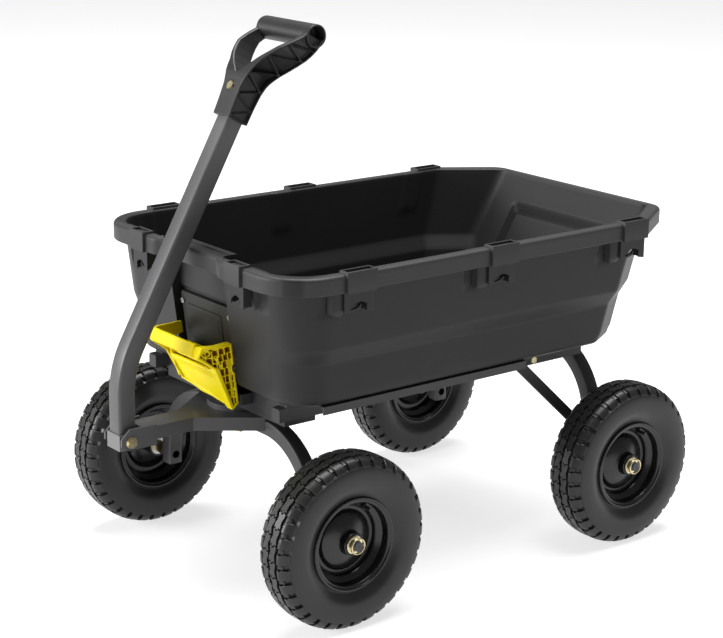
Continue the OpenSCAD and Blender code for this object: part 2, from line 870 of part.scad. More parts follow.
valve(-1, rear_y);  // rear_right_valve
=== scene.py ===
"""Garden cart: detailed pieces, materials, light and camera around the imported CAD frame."""

import json
import math

import bmesh
import bpy
from mathutils import Matrix, Vector


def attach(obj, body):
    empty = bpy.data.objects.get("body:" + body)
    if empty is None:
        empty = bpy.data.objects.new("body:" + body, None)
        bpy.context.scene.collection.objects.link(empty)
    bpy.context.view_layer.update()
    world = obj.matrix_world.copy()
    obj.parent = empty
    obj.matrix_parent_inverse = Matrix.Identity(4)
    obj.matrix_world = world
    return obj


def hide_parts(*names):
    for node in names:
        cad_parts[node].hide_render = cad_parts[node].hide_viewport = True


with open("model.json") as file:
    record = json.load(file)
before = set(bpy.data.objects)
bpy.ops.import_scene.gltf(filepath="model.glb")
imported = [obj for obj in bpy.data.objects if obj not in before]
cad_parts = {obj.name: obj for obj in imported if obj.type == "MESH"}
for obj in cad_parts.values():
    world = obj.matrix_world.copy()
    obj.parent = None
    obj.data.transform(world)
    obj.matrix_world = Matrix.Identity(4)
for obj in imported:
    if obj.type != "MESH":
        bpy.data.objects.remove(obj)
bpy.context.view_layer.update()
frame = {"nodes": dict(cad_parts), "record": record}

MM = 0.001  # the points below are in millimetres; Blender's unit is the metre


# --- small maths
def lerp(a, b, t):
    return a + (b - a) * t


def ease(t):
    """Smooth step from 0 to 1."""
    t = min(1.0, max(0.0, t))
    return t * t * (3 - 2 * t)


def steps(a, b, n):
    """n + 1 even values from a to b."""
    return [lerp(a, b, i / n) for i in range(n + 1)]


def polar(r, degrees):
    """x and y at a radius and an angle."""
    return r * math.cos(math.radians(degrees)), r * math.sin(math.radians(degrees))


def corner_arc(before, corner, after, r, n):
    """n + 1 points that round off a corner."""
    p, q, s = Vector(before), Vector(corner), Vector(after)
    a, b = (p - q).normalized(), (s - q).normalized()
    half = math.acos(a.dot(b)) / 2
    reach, centre = r / math.tan(half), q + (a + b).normalized() * (r / math.sin(half))
    u, v = q + a * reach - centre, q + b * reach - centre
    turn, start = math.atan2(u.x * v.y - u.y * v.x, u.dot(v)), math.atan2(u.y, u.x)
    return [(centre.x + r * math.cos(start + turn * k / n),
             centre.y + r * math.sin(start + turn * k / n)) for k in range(n + 1)]


def rounded_polygon(corners, n=4):
    """Outline of a polygon given as (x, y, radius), with n steps round each corner."""
    points = [corner[:2] for corner in corners]
    following = points[1:] + points[:1]
    return [p for i, (x, y, r) in enumerate(corners)
            for p in corner_arc(points[i - 1], (x, y), following[i], r, n)]


def rounded_rect(w, h, r, n=4):
    x, y = w / 2, h / 2
    return rounded_polygon([(x, -y, r), (x, y, r), (-x, y, r), (-x, -y, r)], n)


# --- meshes
BEVEL_FROM = 32  # degrees between faces that make an edge worth a bevel
MERGE_DIST = 1e-6


def add_object(name, data):
    obj = bpy.data.objects.new(name, data)
    bpy.context.scene.collection.objects.link(obj)
    return obj


def mesh_of(name, verts, faces, unit=MM):
    mesh = bpy.data.meshes.new(name)
    mesh.from_pydata([(x * unit, y * unit, z * unit) for x, y, z in verts], [], faces)
    return mesh


def add_piece(name, mesh, mat, body, replaces):
    """The object of a finished mesh, riding on a body; its slot has the material's name."""
    mesh.materials.append(MATERIALS[mat])
    obj = add_object(name, mesh)
    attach(obj, body)
    if replaces:
        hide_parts(*replaces)
    return obj


def make(name, verts, faces, mat, body, replaces=(), angle=40, bevel=None):
    """A finished piece from points in millimetres, with edges sharper than an angle kept crisp."""
    mesh = mesh_of(name, verts, faces)
    bm = bmesh.new()
    bm.from_mesh(mesh)
    bmesh.ops.remove_doubles(bm, verts=bm.verts, dist=MERGE_DIST)
    bmesh.ops.recalc_face_normals(bm, faces=bm.faces)
    bm.to_mesh(mesh)
    bm.free()
    mesh.validate()
    mesh.shade_smooth()
    mesh.set_sharp_from_angle(angle=math.radians(angle))
    obj = add_piece(name, mesh, mat, body, replaces)
    if bevel:
        add_bevel(obj, bevel)


def add_bevel(obj, width, segments=2):
    mod = obj.modifiers.new("edges", "BEVEL")
    mod.width = width * MM
    mod.segments = segments
    mod.limit_method = "ANGLE"
    mod.angle_limit = math.radians(BEVEL_FROM)
    mod.harden_normals = True


def moulded(name, parts, mat, body, replaces, voxel, rounds):
    """Closed parts fused by a voxel remesh, then softened as a moulding is."""
    raw_mesh = mesh_of(name + "_raw", *join_parts([oriented(part) for part in parts]))
    raw = add_object(name + "_raw", raw_mesh)
    fuse = raw.modifiers.new("fuse", "REMESH")
    fuse.mode, fuse.voxel_size, fuse.adaptivity = "VOXEL", voxel * MM, 0.0
    soften = raw.modifiers.new("soften", "SMOOTH")
    soften.factor, soften.iterations = 0.5, rounds
    mesh = bpy.data.meshes.new_from_object(raw.evaluated_get(bpy.context.evaluated_depsgraph_get()))
    bpy.data.objects.remove(raw)
    bpy.data.meshes.remove(raw_mesh)
    mesh.name = name
    mesh.shade_smooth()
    mesh.materials.clear()
    add_piece(name, mesh, mat, body, replaces)


def oriented(part):
    """The same closed part with its faces turned outward."""
    verts, faces = part
    bm = bmesh.new()
    points = [bm.verts.new(v) for v in verts]
    for f in faces:
        bm.faces.new([points[i] for i in f])
    bmesh.ops.recalc_face_normals(bm, faces=bm.faces)
    bm.verts.index_update()
    out = [tuple(v.co) for v in bm.verts], [tuple(v.index for v in f.verts) for f in bm.faces]
    bm.free()
    return out


def loft(rings):
    """A closed skin over rings that have the same number of points, with both ends capped."""
    n, last = len(rings[0]), len(rings) - 1
    verts = [p for ring in rings for p in ring]
    faces = []
    for r in range(last):
        for i in range(n):
            j = (i + 1) % n
            faces.append((r * n + i, r * n + j, (r + 1) * n + j, (r + 1) * n + i))
    faces.append(tuple(range(n))[::-1])
    faces.append(tuple(last * n + i for i in range(n)))
    return verts, faces


def join_parts(parts):
    """Several (verts, faces) as one."""
    verts, faces = [], []
    for v, f in parts:
        base = len(verts)
        verts += list(v)
        faces += [tuple(i + base for i in face) for face in f]
    return verts, faces


def prism(outline, lo, hi, place):
    """An outline pushed from lo to hi; place(u, v, w) gives the point in space."""
    return loft([[place(u, v, w) for u, v in outline] for w in (lo, hi)])


def spin(profile, place, n=96):
    """A closed profile of (radius, height) turned round an axis; place(x, y, h) gives the point."""
    rings = []
    for k in range(n):
        a = 2 * math.pi * k / n
        rings.append([place(r * math.cos(a), r * math.sin(a), h) for r, h in profile])
    m = len(profile)
    verts = [p for ring in rings for p in ring]
    faces = []
    for k in range(n):
        for i in range(m):
            j, k2 = (i + 1) % m, (k + 1) % n
            faces.append((k * m + i, k2 * m + i, k2 * m + j, k * m + j))
    return verts, faces


def sweep(path, profile):
    """A profile carried along a path of (origin, u axis, v axis)."""
    rings = []
    for o, u, v in path:
        rings.append([tuple(o[k] + u[k] * a + v[k] * b for k in range(3)) for a, b in profile])
    return loft(rings)


# --- materials
PATCHES, GRAINS = (0.32, 0.68), (0.3, 0.7)  # spans in use of the broad and of the fine noise
GRAIN_SHARE, GRAIN_TONE = 0.35, 0.72  # how much of the grain's colour shows, and how deep it is
WEAR_AT, WEAR_SHARE = (0.52, 0.62), 0.55  # how sharp an edge shows wear, and how much of it
BUMP_MM, COAT_ROUGH = 0.15, 0.12
HOLLOW_SPAN, HOLLOW_SHARE = (0.25, 0.75), 0.92  # openness of a hollow over which the painted shade fades in, and the painted shade's share
# walls of the tub at the lip, in metres: distance from the origin, factors of |x| and y
WALL_PLANES = ((0.306, 1.0, 0.0), (0.398, 0.0, -1.0), (0.559, 0.0, 1.0), (0.5044, 0.819, 0.574))
# painted light on the lip: where it starts past the walls and above the skirt, and its share
LIP_LIGHT_PAST, LIP_LIGHT_ABOVE, LIP_LIGHT_SHARE = (-0.001, 0.004), (0.618, 0.625), 0.8


def new_material(name):
    mat = bpy.data.materials.new(name)
    mat.use_nodes = True
    tree = mat.node_tree
    return mat, tree, tree.nodes["Principled BSDF"]


def feed(tree, socket, value):
    """Link an input to another node's output, or give it a plain value or colour."""
    if isinstance(value, bpy.types.NodeSocket):
        tree.links.new(value, socket)
    else:
        socket.default_value = (*value, 1) if socket.type == "RGBA" else value


def node(tree, kind, *first, **values):
    """A new node; bare values feed its first inputs, named ones an input or a setting."""
    n = tree.nodes.new(kind)
    for key, value in values.items():
        if key in n.inputs:
            feed(tree, n.inputs[key], value)
        else:
            setattr(n, key, value)
    for socket, value in zip(n.inputs, first):
        feed(tree, socket, value)
    return n


def maths(tree, operation, *values):
    return node(tree, "ShaderNodeMath", *values, operation=operation).outputs[0]


def object_coords(tree):
    return node(tree, "ShaderNodeTexCoord").outputs["Object"]


def noise_at(tree, coords, scale, detail=3.0, rough=0.55, stretch=None):
    if stretch:
        coords = node(tree, "ShaderNodeMapping", coords, Scale=stretch).outputs["Vector"]
    return node(tree, "ShaderNodeTexNoise", coords, Scale=scale, Detail=detail,
                Roughness=rough).outputs["Fac"]


def ramp(tree, fac, lo, hi, a, b):
    """Maps fac from lo..hi to a..b, for numbers or colours."""
    if isinstance(a, (int, float)):
        return node(tree, "ShaderNodeMapRange", fac, lo, hi, a, b).outputs["Result"]
    r = node(tree, "ShaderNodeValToRGB", fac)
    for element, position, colour in zip(r.color_ramp.elements, (lo, hi), (a, b)):
        element.position, element.color = position, (*colour, 1)
    return r.outputs["Color"]


def mix_colour(tree, fac, a, b):
    m = node(tree, "ShaderNodeMix", fac, data_type="RGBA")
    feed(tree, m.inputs[6], a)
    feed(tree, m.inputs[7], b)
    return m.outputs[2]


def paint_over(tree, share, colour):
    """Blend a material's colour toward another one."""
    base = tree.nodes["Principled BSDF"].inputs["Base Color"]
    feed(tree, base, mix_colour(tree, share, base.links[0].from_socket, colour))


def surface(name, dark, light, rough, grain, bump, patch=6.0, metallic=0.0, wear=None, stretch=None,
            coat=0.0, specular=0.5):
    """A procedural surface: patchy colour, varied roughness, fine grain in the bump, worn edges."""
    mat, tree, shader = new_material(name)
    coords = object_coords(tree)
    broad = noise_at(tree, coords, patch, 4.0)
    fine = noise_at(tree, coords, grain, 3.0, 0.6, stretch)
    colour = ramp(tree, broad, *PATCHES, dark, light)
    colour = mix_colour(tree, ramp(tree, fine, *GRAINS, 0.0, GRAIN_SHARE), colour,
                        tuple(c * GRAIN_TONE for c in dark))
    if wear:
        edge = node(tree, "ShaderNodeNewGeometry").outputs["Pointiness"]
        colour = mix_colour(tree, ramp(tree, edge, *WEAR_AT, 0.0, WEAR_SHARE), colour, wear)
    skin = node(tree, "ShaderNodeBump", Strength=bump, Distance=BUMP_MM * MM, Height=fine)
    for key, value in (("Base Color", colour), ("Roughness", ramp(tree, fine, *GRAINS, *rough)),
                       ("Metallic", metallic), ("Specular IOR Level", specular),
                       ("Coat Weight", coat), ("Coat Roughness", COAT_ROUGH),
                       ("Normal", skin.outputs["Normal"])):
        feed(tree, shader.inputs[key], value)
    return mat


def shade_hollows(mat, colour, reach):
    """Paint shade into a surface: blend it toward a deeper colour where its hollows shut the light out."""
    tree = mat.node_tree
    hollow = node(tree, "ShaderNodeAmbientOcclusion", Distance=reach * MM, samples=8)
    paint_over(tree, ramp(tree, hollow.outputs["AO"], *HOLLOW_SPAN, HOLLOW_SHARE, 0.0), colour)


def paint_lip_light(mat, colour):
    """Paint light onto the rolled lip: blend it, outside the walls and above the skirt's edge, to a
    lighter colour that stands in for the top light falling on it.
    """
    tree = mat.node_tree
    x, y, z = node(tree, "ShaderNodeSeparateXYZ", object_coords(tree)).outputs
    across = maths(tree, "ABSOLUTE", x)
    past = -1.0
    for distance, fx, fy in WALL_PLANES:
        beyond = maths(tree, "MULTIPLY_ADD", across, fx, -distance)
        past = maths(tree, "MAXIMUM", past, maths(tree, "MULTIPLY_ADD", y, fy, beyond))
    share = maths(tree, "MULTIPLY", ramp(tree, past, *LIP_LIGHT_PAST, 0.0, LIP_LIGHT_SHARE),
                  ramp(tree, z, *LIP_LIGHT_ABOVE, 0.0, 1.0))
    paint_over(tree, share, colour)


# dark and light colour, span of roughness, scale of the grain, strength of the bump, the rest
LOOKS = {
    # moulded polyethylene: fine pebbled skin with a soft sheen
    "poly_black": ((0.0145, 0.0142, 0.0145), (0.018, 0.0176, 0.018), (0.42, 0.52), 1400, 0.35,
                   dict(patch=5, wear=(0.04, 0.04, 0.04), specular=0.25)),
    # powder coats: satin with a faint orange peel
    "frame_coat": ((0.036, 0.036, 0.038), (0.044, 0.044, 0.046), (0.36, 0.48), 900, 0.3,
                   dict(patch=9, wear=(0.10, 0.10, 0.105), specular=0.35)),
    "handle_coat": ((0.050, 0.050, 0.053), (0.060, 0.060, 0.063), (0.32, 0.44), 900, 0.3,
                    dict(patch=9, wear=(0.2, 0.2, 0.2))),
    # the frame coat darkened as painted shade, for the rails under the tub
    "painted_shade_frame_coat": ((0.013, 0.013, 0.0135), (0.018, 0.018, 0.0185), (0.40, 0.52), 900, 0.3,
                  dict(patch=9, wear=(0.06, 0.06, 0.062), specular=0.3)),
    "plate_black": ((0.007, 0.007, 0.0058), (0.011, 0.011, 0.009), (0.46, 0.58), 800, 0.3,
                    dict(patch=20, wear=(0.04, 0.04, 0.036), specular=0.2)),
    # other plastics and rubber
    "grip_plastic": ((0.016, 0.016, 0.0165), (0.021, 0.021, 0.0215), (0.36, 0.5), 1600, 0.4,
                     dict(patch=14, wear=(0.04, 0.04, 0.04), specular=0.35)),
    "lever_yellow": ((0.74, 0.58, 0.0005), (0.80, 0.67, 0.001), (0.34, 0.46), 1100, 0.3,
                     dict(patch=16, specular=0.2)),
    "rim_black": ((0.006, 0.006, 0.0063), (0.009, 0.009, 0.0093), (0.20, 0.30), 500, 0.12,
                  dict(patch=18, coat=0.15, specular=0.35)),
    "tyre_rubber": ((0.010, 0.010, 0.0096), (0.014, 0.014, 0.0134), (0.30, 0.42), 900, 0.35,
                    dict(patch=22, wear=(0.025, 0.025, 0.023), specular=0.38)),
    "black_rubber": ((0.012, 0.012, 0.012), (0.02, 0.02, 0.02), (0.5, 0.65), 1200, 0.4,
                     dict(patch=60)),
    "bush_nylon": ((0.02, 0.02, 0.02), (0.03, 0.03, 0.03), (0.4, 0.5), 1500, 0.3, dict(patch=40)),
    # bare and plated metal
    "yellow_zinc": ((0.62, 0.50, 0.25), (0.86, 0.80, 0.58), (0.22, 0.38), 500, 0.25,
                    dict(patch=90, metallic=1.0)),
    "bright_steel": ((0.42, 0.41, 0.39), (0.62, 0.61, 0.58), (0.25, 0.42), 700, 0.3,
                     dict(patch=60, metallic=1.0, stretch=(1.0, 1.0, 9.0))),
}
MATERIALS = {name: surface(name, *look[:-1], **look[-1]) for name, look in LOOKS.items()}
# painted shade: the lever's hollows and honeycomb cells turn amber where they shut the light out
shade_hollows(MATERIALS["lever_yellow"], (0.42, 0.17, 0.0), 14)
# painted light: the lip outside the walls turns lighter, standing in for light from above
paint_lip_light(MATERIALS["poly_black"], (0.036, 0.036, 0.036))

# Every CAD node gets its slot's material, except the frame-coat rails, which get the frame coat darkened
# as painted shade; the nodes listed in EDGE_MM get a small bevel on their sharp edges
SLOT_OF = {s["node"]: s["material_slot"] for s in frame["record"]["subparts"]}
RAIL_NODES = ("left_rail", "right_rail", "tub_side_rails", "tub_runners", "left_brace", "right_brace",
              "front_crossmember")
EDGE_MM = {"yoke": 2.2, "clevis_ears": 0.8, "left_rail": 2.0, "right_rail": 2.0,
           "tub_side_rails": 1.5, "tub_runners": 1.0, "latch_plate": 1.0, "left_brace": 1.0,
           "right_brace": 1.0, "front_crossmember": 1.2, "handle_foot": 1.2}
for name, obj in frame["nodes"].items():
    obj.data.materials.clear()
    shaded = name in RAIL_NODES and SLOT_OF[name] == "frame_coat"
    obj.data.materials.append(MATERIALS["painted_shade_frame_coat" if shaded else SLOT_OF[name]])
    if name in EDGE_MM:
        add_bevel(obj, EDGE_MM[name], 3)


# --- tub
FLOOR_Z, LIP_Z, LIP_BOTTOM, HIGH_Z, WALL = 404.0, 656.0, 623.0, 640.0, 5.0
# outlines: half width, front y, rear y, front corner radius, rear chamfer along x and y
LOW = (282, -366, 450, 75, 44, 76)
HIGH = (306, -398, 559, 88, 82, 117)
LIP = (325, -418, 578, 102, 80, 122)
LEDGE = ((484, 284.5), (514, 300))
CHANNEL_W, BOSS_W, PLATE_W, CHANNEL_Y = 92.0, 98.0, 84.0, -370.0
SADDLE = (12.5, 84.0, 114.0)  # depth, half width of its flat part, half width overall
RAISED_W, RAISED_TOP = 104.0, 2.8  # half width and height of the strip on top of the saddle
CLIP_ROWS, CLIP_W = (-261.0, 76.0, 420.0), 66.0
FRONT_CLIP_X, FRONT_CLIP_W = 160.0, 48.0
POCKET = (22.0, 7.5, 571.0)  # half width, depth and bottom of the recess beside each clip
POCKET_FROM = -56.0  # its centre, from the middle of the clip
FRONT_POCKET_X = 207.0
PANEL_SLOPE = 0.1356  # lean of the front panel, per unit of height
RECESS_TOP, RECESS_LEDGE, RECESS_LOW = 600.0, 572.0, 436.0
RECESS_DEPTH, RECESS_SIDE, RECESS_HALF = 11.0, 14.0, (176.0, 150.0)
OUTER_FILLET, INNER_FILLET, LIP_FILLET = 25, 30, 40  # at the ends of the rear chamfers
BOTTOM_R, FLOOR_R, LIP_R, MOUTH_R = 12, 15, 7, 4  # rounded edges
REAR_SPLITS = (6, 2, 16)  # steps along the rear wall: to the recess, its side, its half
REAR_N = sum(REAR_SPLITS) + 1
FRONT_ZONE, SIDE_ZONE = -340, 270  # points past this y or x lie on the front or side wall
# heights of the rings of points over the outer wall, and back down the inner one
OUTER_LEVELS = (424, 433, 442, 451, 460, 468, 475, 479, 483, 485, 492, 499, 506, 513, 515, 519, 525,
                533, 541, 548, 553.7, 554.3, 563.2, 563.8, 570, 575.7, 576.3, 584, 592, 599, 606, 614,
                622, 632, 642, 651)
INNER_LEVELS = (646.2, 643.8, 636, 628, 620, 612, 604, 600.3, 599.7, 592, 588.6, 580, 572.3, 571.7,
                564, 556, 548, 540, 532, 525, 519, 515, 513, 506, 499, 492, 485, 483, 479, 473, 465,
                457, 450.3, 449.7, 443, 436.3, 435.7, 430)
# the lip's skirt: inset and height
SKIRT = ((3.5, 651), (3.5, 638), (3.5, 624.4), (2.7, 623.1), (0.8, 623.1), (0, 624.2), (0, 631),
         (0, 638), (0, 644), (0, 649))


def panel_y(depth, z):
    """y of a plane that lies a given depth behind the slanted front panel."""
    return LOW[1] + depth * 1.009 - (z - FLOOR_Z) * PANEL_SLOPE


def wall_at(z):
    """Outline of the outer wall at a height."""
    t = (z - FLOOR_Z) / (HIGH_Z - FLOOR_Z)
    o = [lerp(a, b, t) for a, b in zip(LOW, HIGH)]
    (z0, w0), (z1, w1) = LEDGE
    if z < z0:
        o[0] = lerp(LOW[0], w0, (z - FLOOR_Z) / (z0 - FLOOR_Z))
    elif z < z1:
        o[0] = lerp(w0, w1, (z - z0) / (z1 - z0))
    else:
        o[0] = lerp(w1, HIGH[0], (z - z1) / (HIGH_Z - z1))
    return o


def columns(a, b, step, marks=(), keep=2.2):
    """Even values from a to b, with each marked value as a pair of close ones."""
    values = [v for v in steps(a, b, max(1, round((b - a) / step)))
              if all(abs(v - m) > keep for m in marks) or v in (a, b)]
    for m in marks:
        values += [m - 0.35, m + 0.35]
    return sorted(v for v in values if a <= v <= b)


# Columns of points round the wall, with close pairs at the edges of the plate, channel and pockets
REF = wall_at(600)
FRONT_X = columns(0, PLATE_W - 1, 9) + [
    PLATE_W - 0.3, PLATE_W + 0.3, 88, CHANNEL_W - 0.3, CHANNEL_W + 0.3, 95, BOSS_W - 0.4,
    BOSS_W + 0.4, 101, RAISED_W - 0.4, RAISED_W + 0.4, 108, SADDLE[2]]
FLAT_FROM, FLAT_TO = SADDLE[2], REF[0] - REF[3]
FRONT_T = [(v - FLAT_FROM) / (FLAT_TO - FLAT_FROM) for v in
           columns(FLAT_FROM, FLAT_TO, 5, (FRONT_POCKET_X - POCKET[0],))][1:]
POCKET_ENDS = [row + POCKET_FROM + end * POCKET[0] for row in CLIP_ROWS for end in (-1, 1)]
CORNER_A = columns(-90, 0, 3, (
    -math.degrees(math.acos((FRONT_POCKET_X + POCKET[0] - FLAT_TO) / REF[3])),
    math.degrees(math.asin((POCKET_ENDS[0] - REF[1] - REF[3]) / REF[3]))), 1.6)[1:]
SIDE_FROM, SIDE_TO = REF[1] + REF[3], REF[2] - REF[5] - 9
SIDE_T = [(v - SIDE_FROM) / (SIDE_TO - SIDE_FROM) for v in
          columns(SIDE_FROM, SIDE_TO, 5, POCKET_ENDS[1:])][1:]


def recess_edge(z):
    """Half width of the rear recess at a height."""
    return lerp(*RECESS_HALF, min(1, max(0, (z - RECESS_LOW) / (RECESS_TOP - RECESS_LOW))))


def half_outline(o, inset, fillet, z):
    """Points of an outline's +X half, from the front centre round to the rear centre."""
    w, f, b, r = o[0] - inset, o[1] + inset, o[2] - inset, o[3] - inset
    cx, cy = o[4] - inset / 2, o[5] - inset / 2
    pts = [(x, f) for x in FRONT_X]
    pts += [(lerp(FLAT_FROM, w - r, t), f) for t in FRONT_T]
    pts += [(w - r + u, f + r + v) for u, v in (polar(r, a) for a in CORNER_A)]
    first = corner_arc((w, f), (w, b - cy), (w - cx, b), fillet, 6)
    second = corner_arc((w, b - cy), (w - cx, b), (0, b), fillet, 6)
    pts += [(w, lerp(f + r, first[0][1], t)) for t in SIDE_T[:-1]]
    pts += first
    pts += [(lerp(first[-1][0], second[0][0], k / 8), lerp(first[-1][1], second[0][1], k / 8))
            for k in range(1, 8)]
    pts += second
    edge = recess_edge(z)
    stops = [second[-1][0], edge, edge - RECESS_SIDE, 0]
    for a, c, n in zip(stops, stops[1:], REAR_SPLITS):
        pts += [(lerp(a, c, k / n), b) for k in range(1, n + 1)]
    return pts


REF_HALF = half_outline(REF, 0, OUTER_FILLET, 600)
HALF_N = len(REF_HALF)


def ring_of(half, z):
    """The whole ring at one height."""
    right = [(x, y, z) for x, y in half]
    return right + [(-x, y, z) for x, y in half[-2:0:-1]]


def saddle_at(x):
    """How far back the front lip dips, at x."""
    depth, flat, wide = SADDLE
    return depth * (1 - ease((abs(x) - flat) / (wide - flat)))


def recess_at(x, z):
    """How far the rear wall is pushed outward at x and z."""
    side = (recess_edge(z) - abs(x)) / RECESS_SIDE
    top = (RECESS_TOP - z) / (RECESS_TOP - RECESS_LEDGE)
    low = (z - RECESS_LOW) / 14
    return RECESS_DEPTH * max(0, min(1, side, top, low))


def groove_at(x):
    """Extra depth of the channel beside the latch plate."""
    return 8 if PLATE_W < x < BOSS_W else 0


def channel_back(x, z):
    """y of the channel behind the lever."""
    if z < 554:
        return panel_y(15 + groove_at(x), z)
    return CHANNEL_Y + 5 if z < 563.5 else CHANNEL_Y


def outer_ring(z, inset=0.0, level=None):
    half = half_outline(wall_at(z), inset, OUTER_FILLET, z)
    out = []
    for i, (x, y) in enumerate(half):
        rx, ry = REF_HALF[i]
        if i < len(FRONT_X) and x < CHANNEL_W:
            y = channel_back(x, z) + inset * 0.5
        if z > POCKET[2]:
            deep = POCKET[1] * ease((z - POCKET[2]) / 20)
            if ry < FRONT_ZONE and abs(rx - FRONT_POCKET_X) < POCKET[0]:
                y += deep * math.sqrt(1 - ((rx - FRONT_POCKET_X) / POCKET[0]) ** 2)
            for row in CLIP_ROWS:
                s = (ry - row - POCKET_FROM) / POCKET[0]
                if rx > SIDE_ZONE and abs(s) < 1:
                    x -= 0.35 * deep * math.sqrt(1 - s * s)
        if i >= HALF_N - REAR_N:
            y += recess_at(x, z)
        out.append((x, y))
    return ring_of(out, level or z)


def swelling(offset):
    """Share of the swelling's height at a distance from a pocket's middle."""
    return 1 - ease((abs(offset) / POCKET[0] - 0.75) / 0.7)


def inner_ring(z, inset=WALL, level=None):
    half = half_outline(wall_at(z), inset, INNER_FILLET, z)
    out = []
    for i, (x, y) in enumerate(half):
        rx, ry = REF_HALF[i]
        if i < len(FRONT_X) and x < BOSS_W:
            back = (CHANNEL_Y if z > 560 else panel_y(15 + groove_at(x + 2), z)) + 6
            y = max(y, back + inset - WALL)
        if i >= HALF_N - REAR_N:
            y += recess_at(x, z)
        if z > 566:  # soft swellings behind the pockets
            rise = ease((z - 566) / 16) * (POCKET[1] - 3)
            if ry < FRONT_ZONE and 60 < rx < 290:
                y += rise * swelling(rx - FRONT_POCKET_X)
            elif rx > SIDE_ZONE:
                x -= 0.5 * rise * max(swelling(ry - row - POCKET_FROM) for row in CLIP_ROWS)
        out.append((x, y))
    return ring_of(out, level or z)


def lip_ring(inset, z):
    half = half_outline(LIP, inset, LIP_FILLET, 600)
    return ring_of([(x, y + saddle_at(x) if y < -300 else y) for x, y in half], z)


def build_tub():
    rings = []
    for k in range(5):
        x, y = polar(BOTTOM_R, 90 - 22.5 * k)
        rings.append(outer_ring(FLOOR_Z, BOTTOM_R - x, FLOOR_Z + BOTTOM_R - y))
    rings += [outer_ring(z) for z in OUTER_LEVELS]
    rings += [lip_ring(inset, z) for inset, z in SKIRT]
    for k in range(1, 7):
        x, y = polar(LIP_R, 15 * k)
        rings.append(lip_ring(LIP_R - x, LIP_Z - LIP_R + y))
    outer_edge = rings[-1]
    inner_edge = inner_ring(LIP_Z - MOUTH_R, WALL - MOUTH_R, LIP_Z)

    def top_row(t, rise):
        """A ring on top of the lip; its raised strip lies on the saddle."""
        return [(lerp(p[0], q[0], t), lerp(p[1], q[1], t),
                 LIP_Z + (rise if abs(p[0]) < RAISED_W and p[1] < -300 else 0))
                for p, q in zip(outer_edge, inner_edge)]

    rings += [top_row(0.4, 0), top_row(0.55, 0), top_row(0.62, RAISED_TOP - 0.2),
              top_row(0.85, RAISED_TOP), top_row(1, RAISED_TOP - 0.4)]
    for k in range(1, 5):
        x, y = polar(MOUTH_R, 22.5 * k)
        rings.append(inner_ring(LIP_Z - MOUTH_R, WALL - MOUTH_R + y, LIP_Z - MOUTH_R + x))
    rings += [inner_ring(z) for z in INNER_LEVELS]
    for k in range(6):
        x, y = polar(FLOOR_R, 18 * k)
        rings.append(inner_ring(FLOOR_Z + WALL + FLOOR_R - y, WALL + FLOOR_R - x))
    make("tub_shell", *loft(rings), "poly_black", "tub", replaces=("tub",), angle=28)


def build_clips():
    """Tie-down blocks: a proud cup on the lip, and a plate with a hook notch below it."""
    parts = []

    def block(w, place):
        h, rim = w / 2, 3.5
        # cup: outline in plan, walls, and a floor 22 mm down
        cup = [(-h, -6), (h, -6), (h, 20), (-h, 20)]
        hole = [(-h + rim, rim - 6), (h - rim, rim - 6), (h - rim, 19 - rim), (-h + rim, 19 - rim)]
        rows = [[place(u, v, LIP_BOTTOM - 1) for u, v in cup], [place(u, v, LIP_Z + 4) for u, v in cup],
                [place(u * 0.985, v + (0.5 if v < 0 else -0.5), LIP_Z + 5) for u, v in cup],
                [place(u, v, LIP_Z + 5) for u, v in hole], [place(u, v, LIP_Z - 17) for u, v in hole]]
        parts.append(loft(rows))
        # plate below, with the arched notch in its bottom edge
        k = h / 33
        notch = [(17, -1), (17, 5)] + [(17 - 36 * t, 5 + 13 * math.sin(math.pi * (0.2 + 0.7 * t)))
                                       for t in steps(0, 1, 10)] + [(-20, 5), (-20, 1)]
        edge = [(-h, LIP_BOTTOM), (-h, 586)] + [(u * k, 584 + v) for u, v in notch[::-1]]
        edge += [(h, 580), (h, LIP_BOTTOM)]
        parts.append(loft([[place(u, v, z) for u, z in edge] for v in (3.5, 6.5)]))
        g = h - 0.7
        parts.append(loft([[place(u, v, z) for u, z in ((-g, LIP_BOTTOM - 2), (-g, 588), (-21 * k, 587),
                                                        (-21 * k, 602), (18 * k, 605), (18 * k, 584),
                                                        (g, 583), (g, LIP_BOTTOM - 2))]
                           for v in (6, 23)]))
        # hook bar in the notch
        hook = [(-21, 583), (-8, 584), (6, 588), (10, 595), (6, 596), (2, 592), (-8, 589), (-21, 588)]
        parts.append(loft([[place(u * k, v, z) for u, z in hook] for v in (8, 13)]))

    def fin(place):
        """Rounded gusset beside a side clip, set back from its plate."""
        levels = ((LIP_BOTTOM - 1, 0, 0), (592, 0, 0), (585, 1.2, 1), (580, 4, 3), (577, 9, 6))
        parts.append(loft([[place(u, v, z) for u, v in (
            (-58 + trim, 23.5), (-54 + trim, 12 + back), (-48 + trim, 9 + back), (-31, 9 + back),
            (-31, 23.5))] for z, back, trim in levels]))

    for s in (-1, 1):
        for y in CLIP_ROWS:
            fin(lambda u, v, z, s=s, y=y: (s * (LIP[0] - v), y + u, z))
            block(CLIP_W, lambda u, v, z, s=s, y=y: (s * (LIP[0] - v), y + u, z))
        block(FRONT_CLIP_W, lambda u, v, z, s=s: (s * (FRONT_CLIP_X + u), LIP[1] + v, z))
    make("tub_clips", *join_parts(parts), "poly_black", "tub", angle=30, bevel=0.9)


build_tub()
build_clips()


# --- wheels
TRACK, FRONT_Y, REAR_Y, HUB_Z = 328.0, -298.0, 405.0, 165.0
TREAD_N, GROOVE = 34, 5.0  # lugs round the tyre, depth of the grooves
# outer skin over the lugs: offset from the wheel's centre plane, radius
SKIN = [(0, 165), (12, 164.9), (22, 163.8), (30, 161), (36, 156.6), (40, 151), (42.6, 144.5),
        (44.2, 137), (45, 129), (45, 121), (44, 113), (41.5, 105.5), (37.5, 98.5), (34.2, 93), (33, 88)]


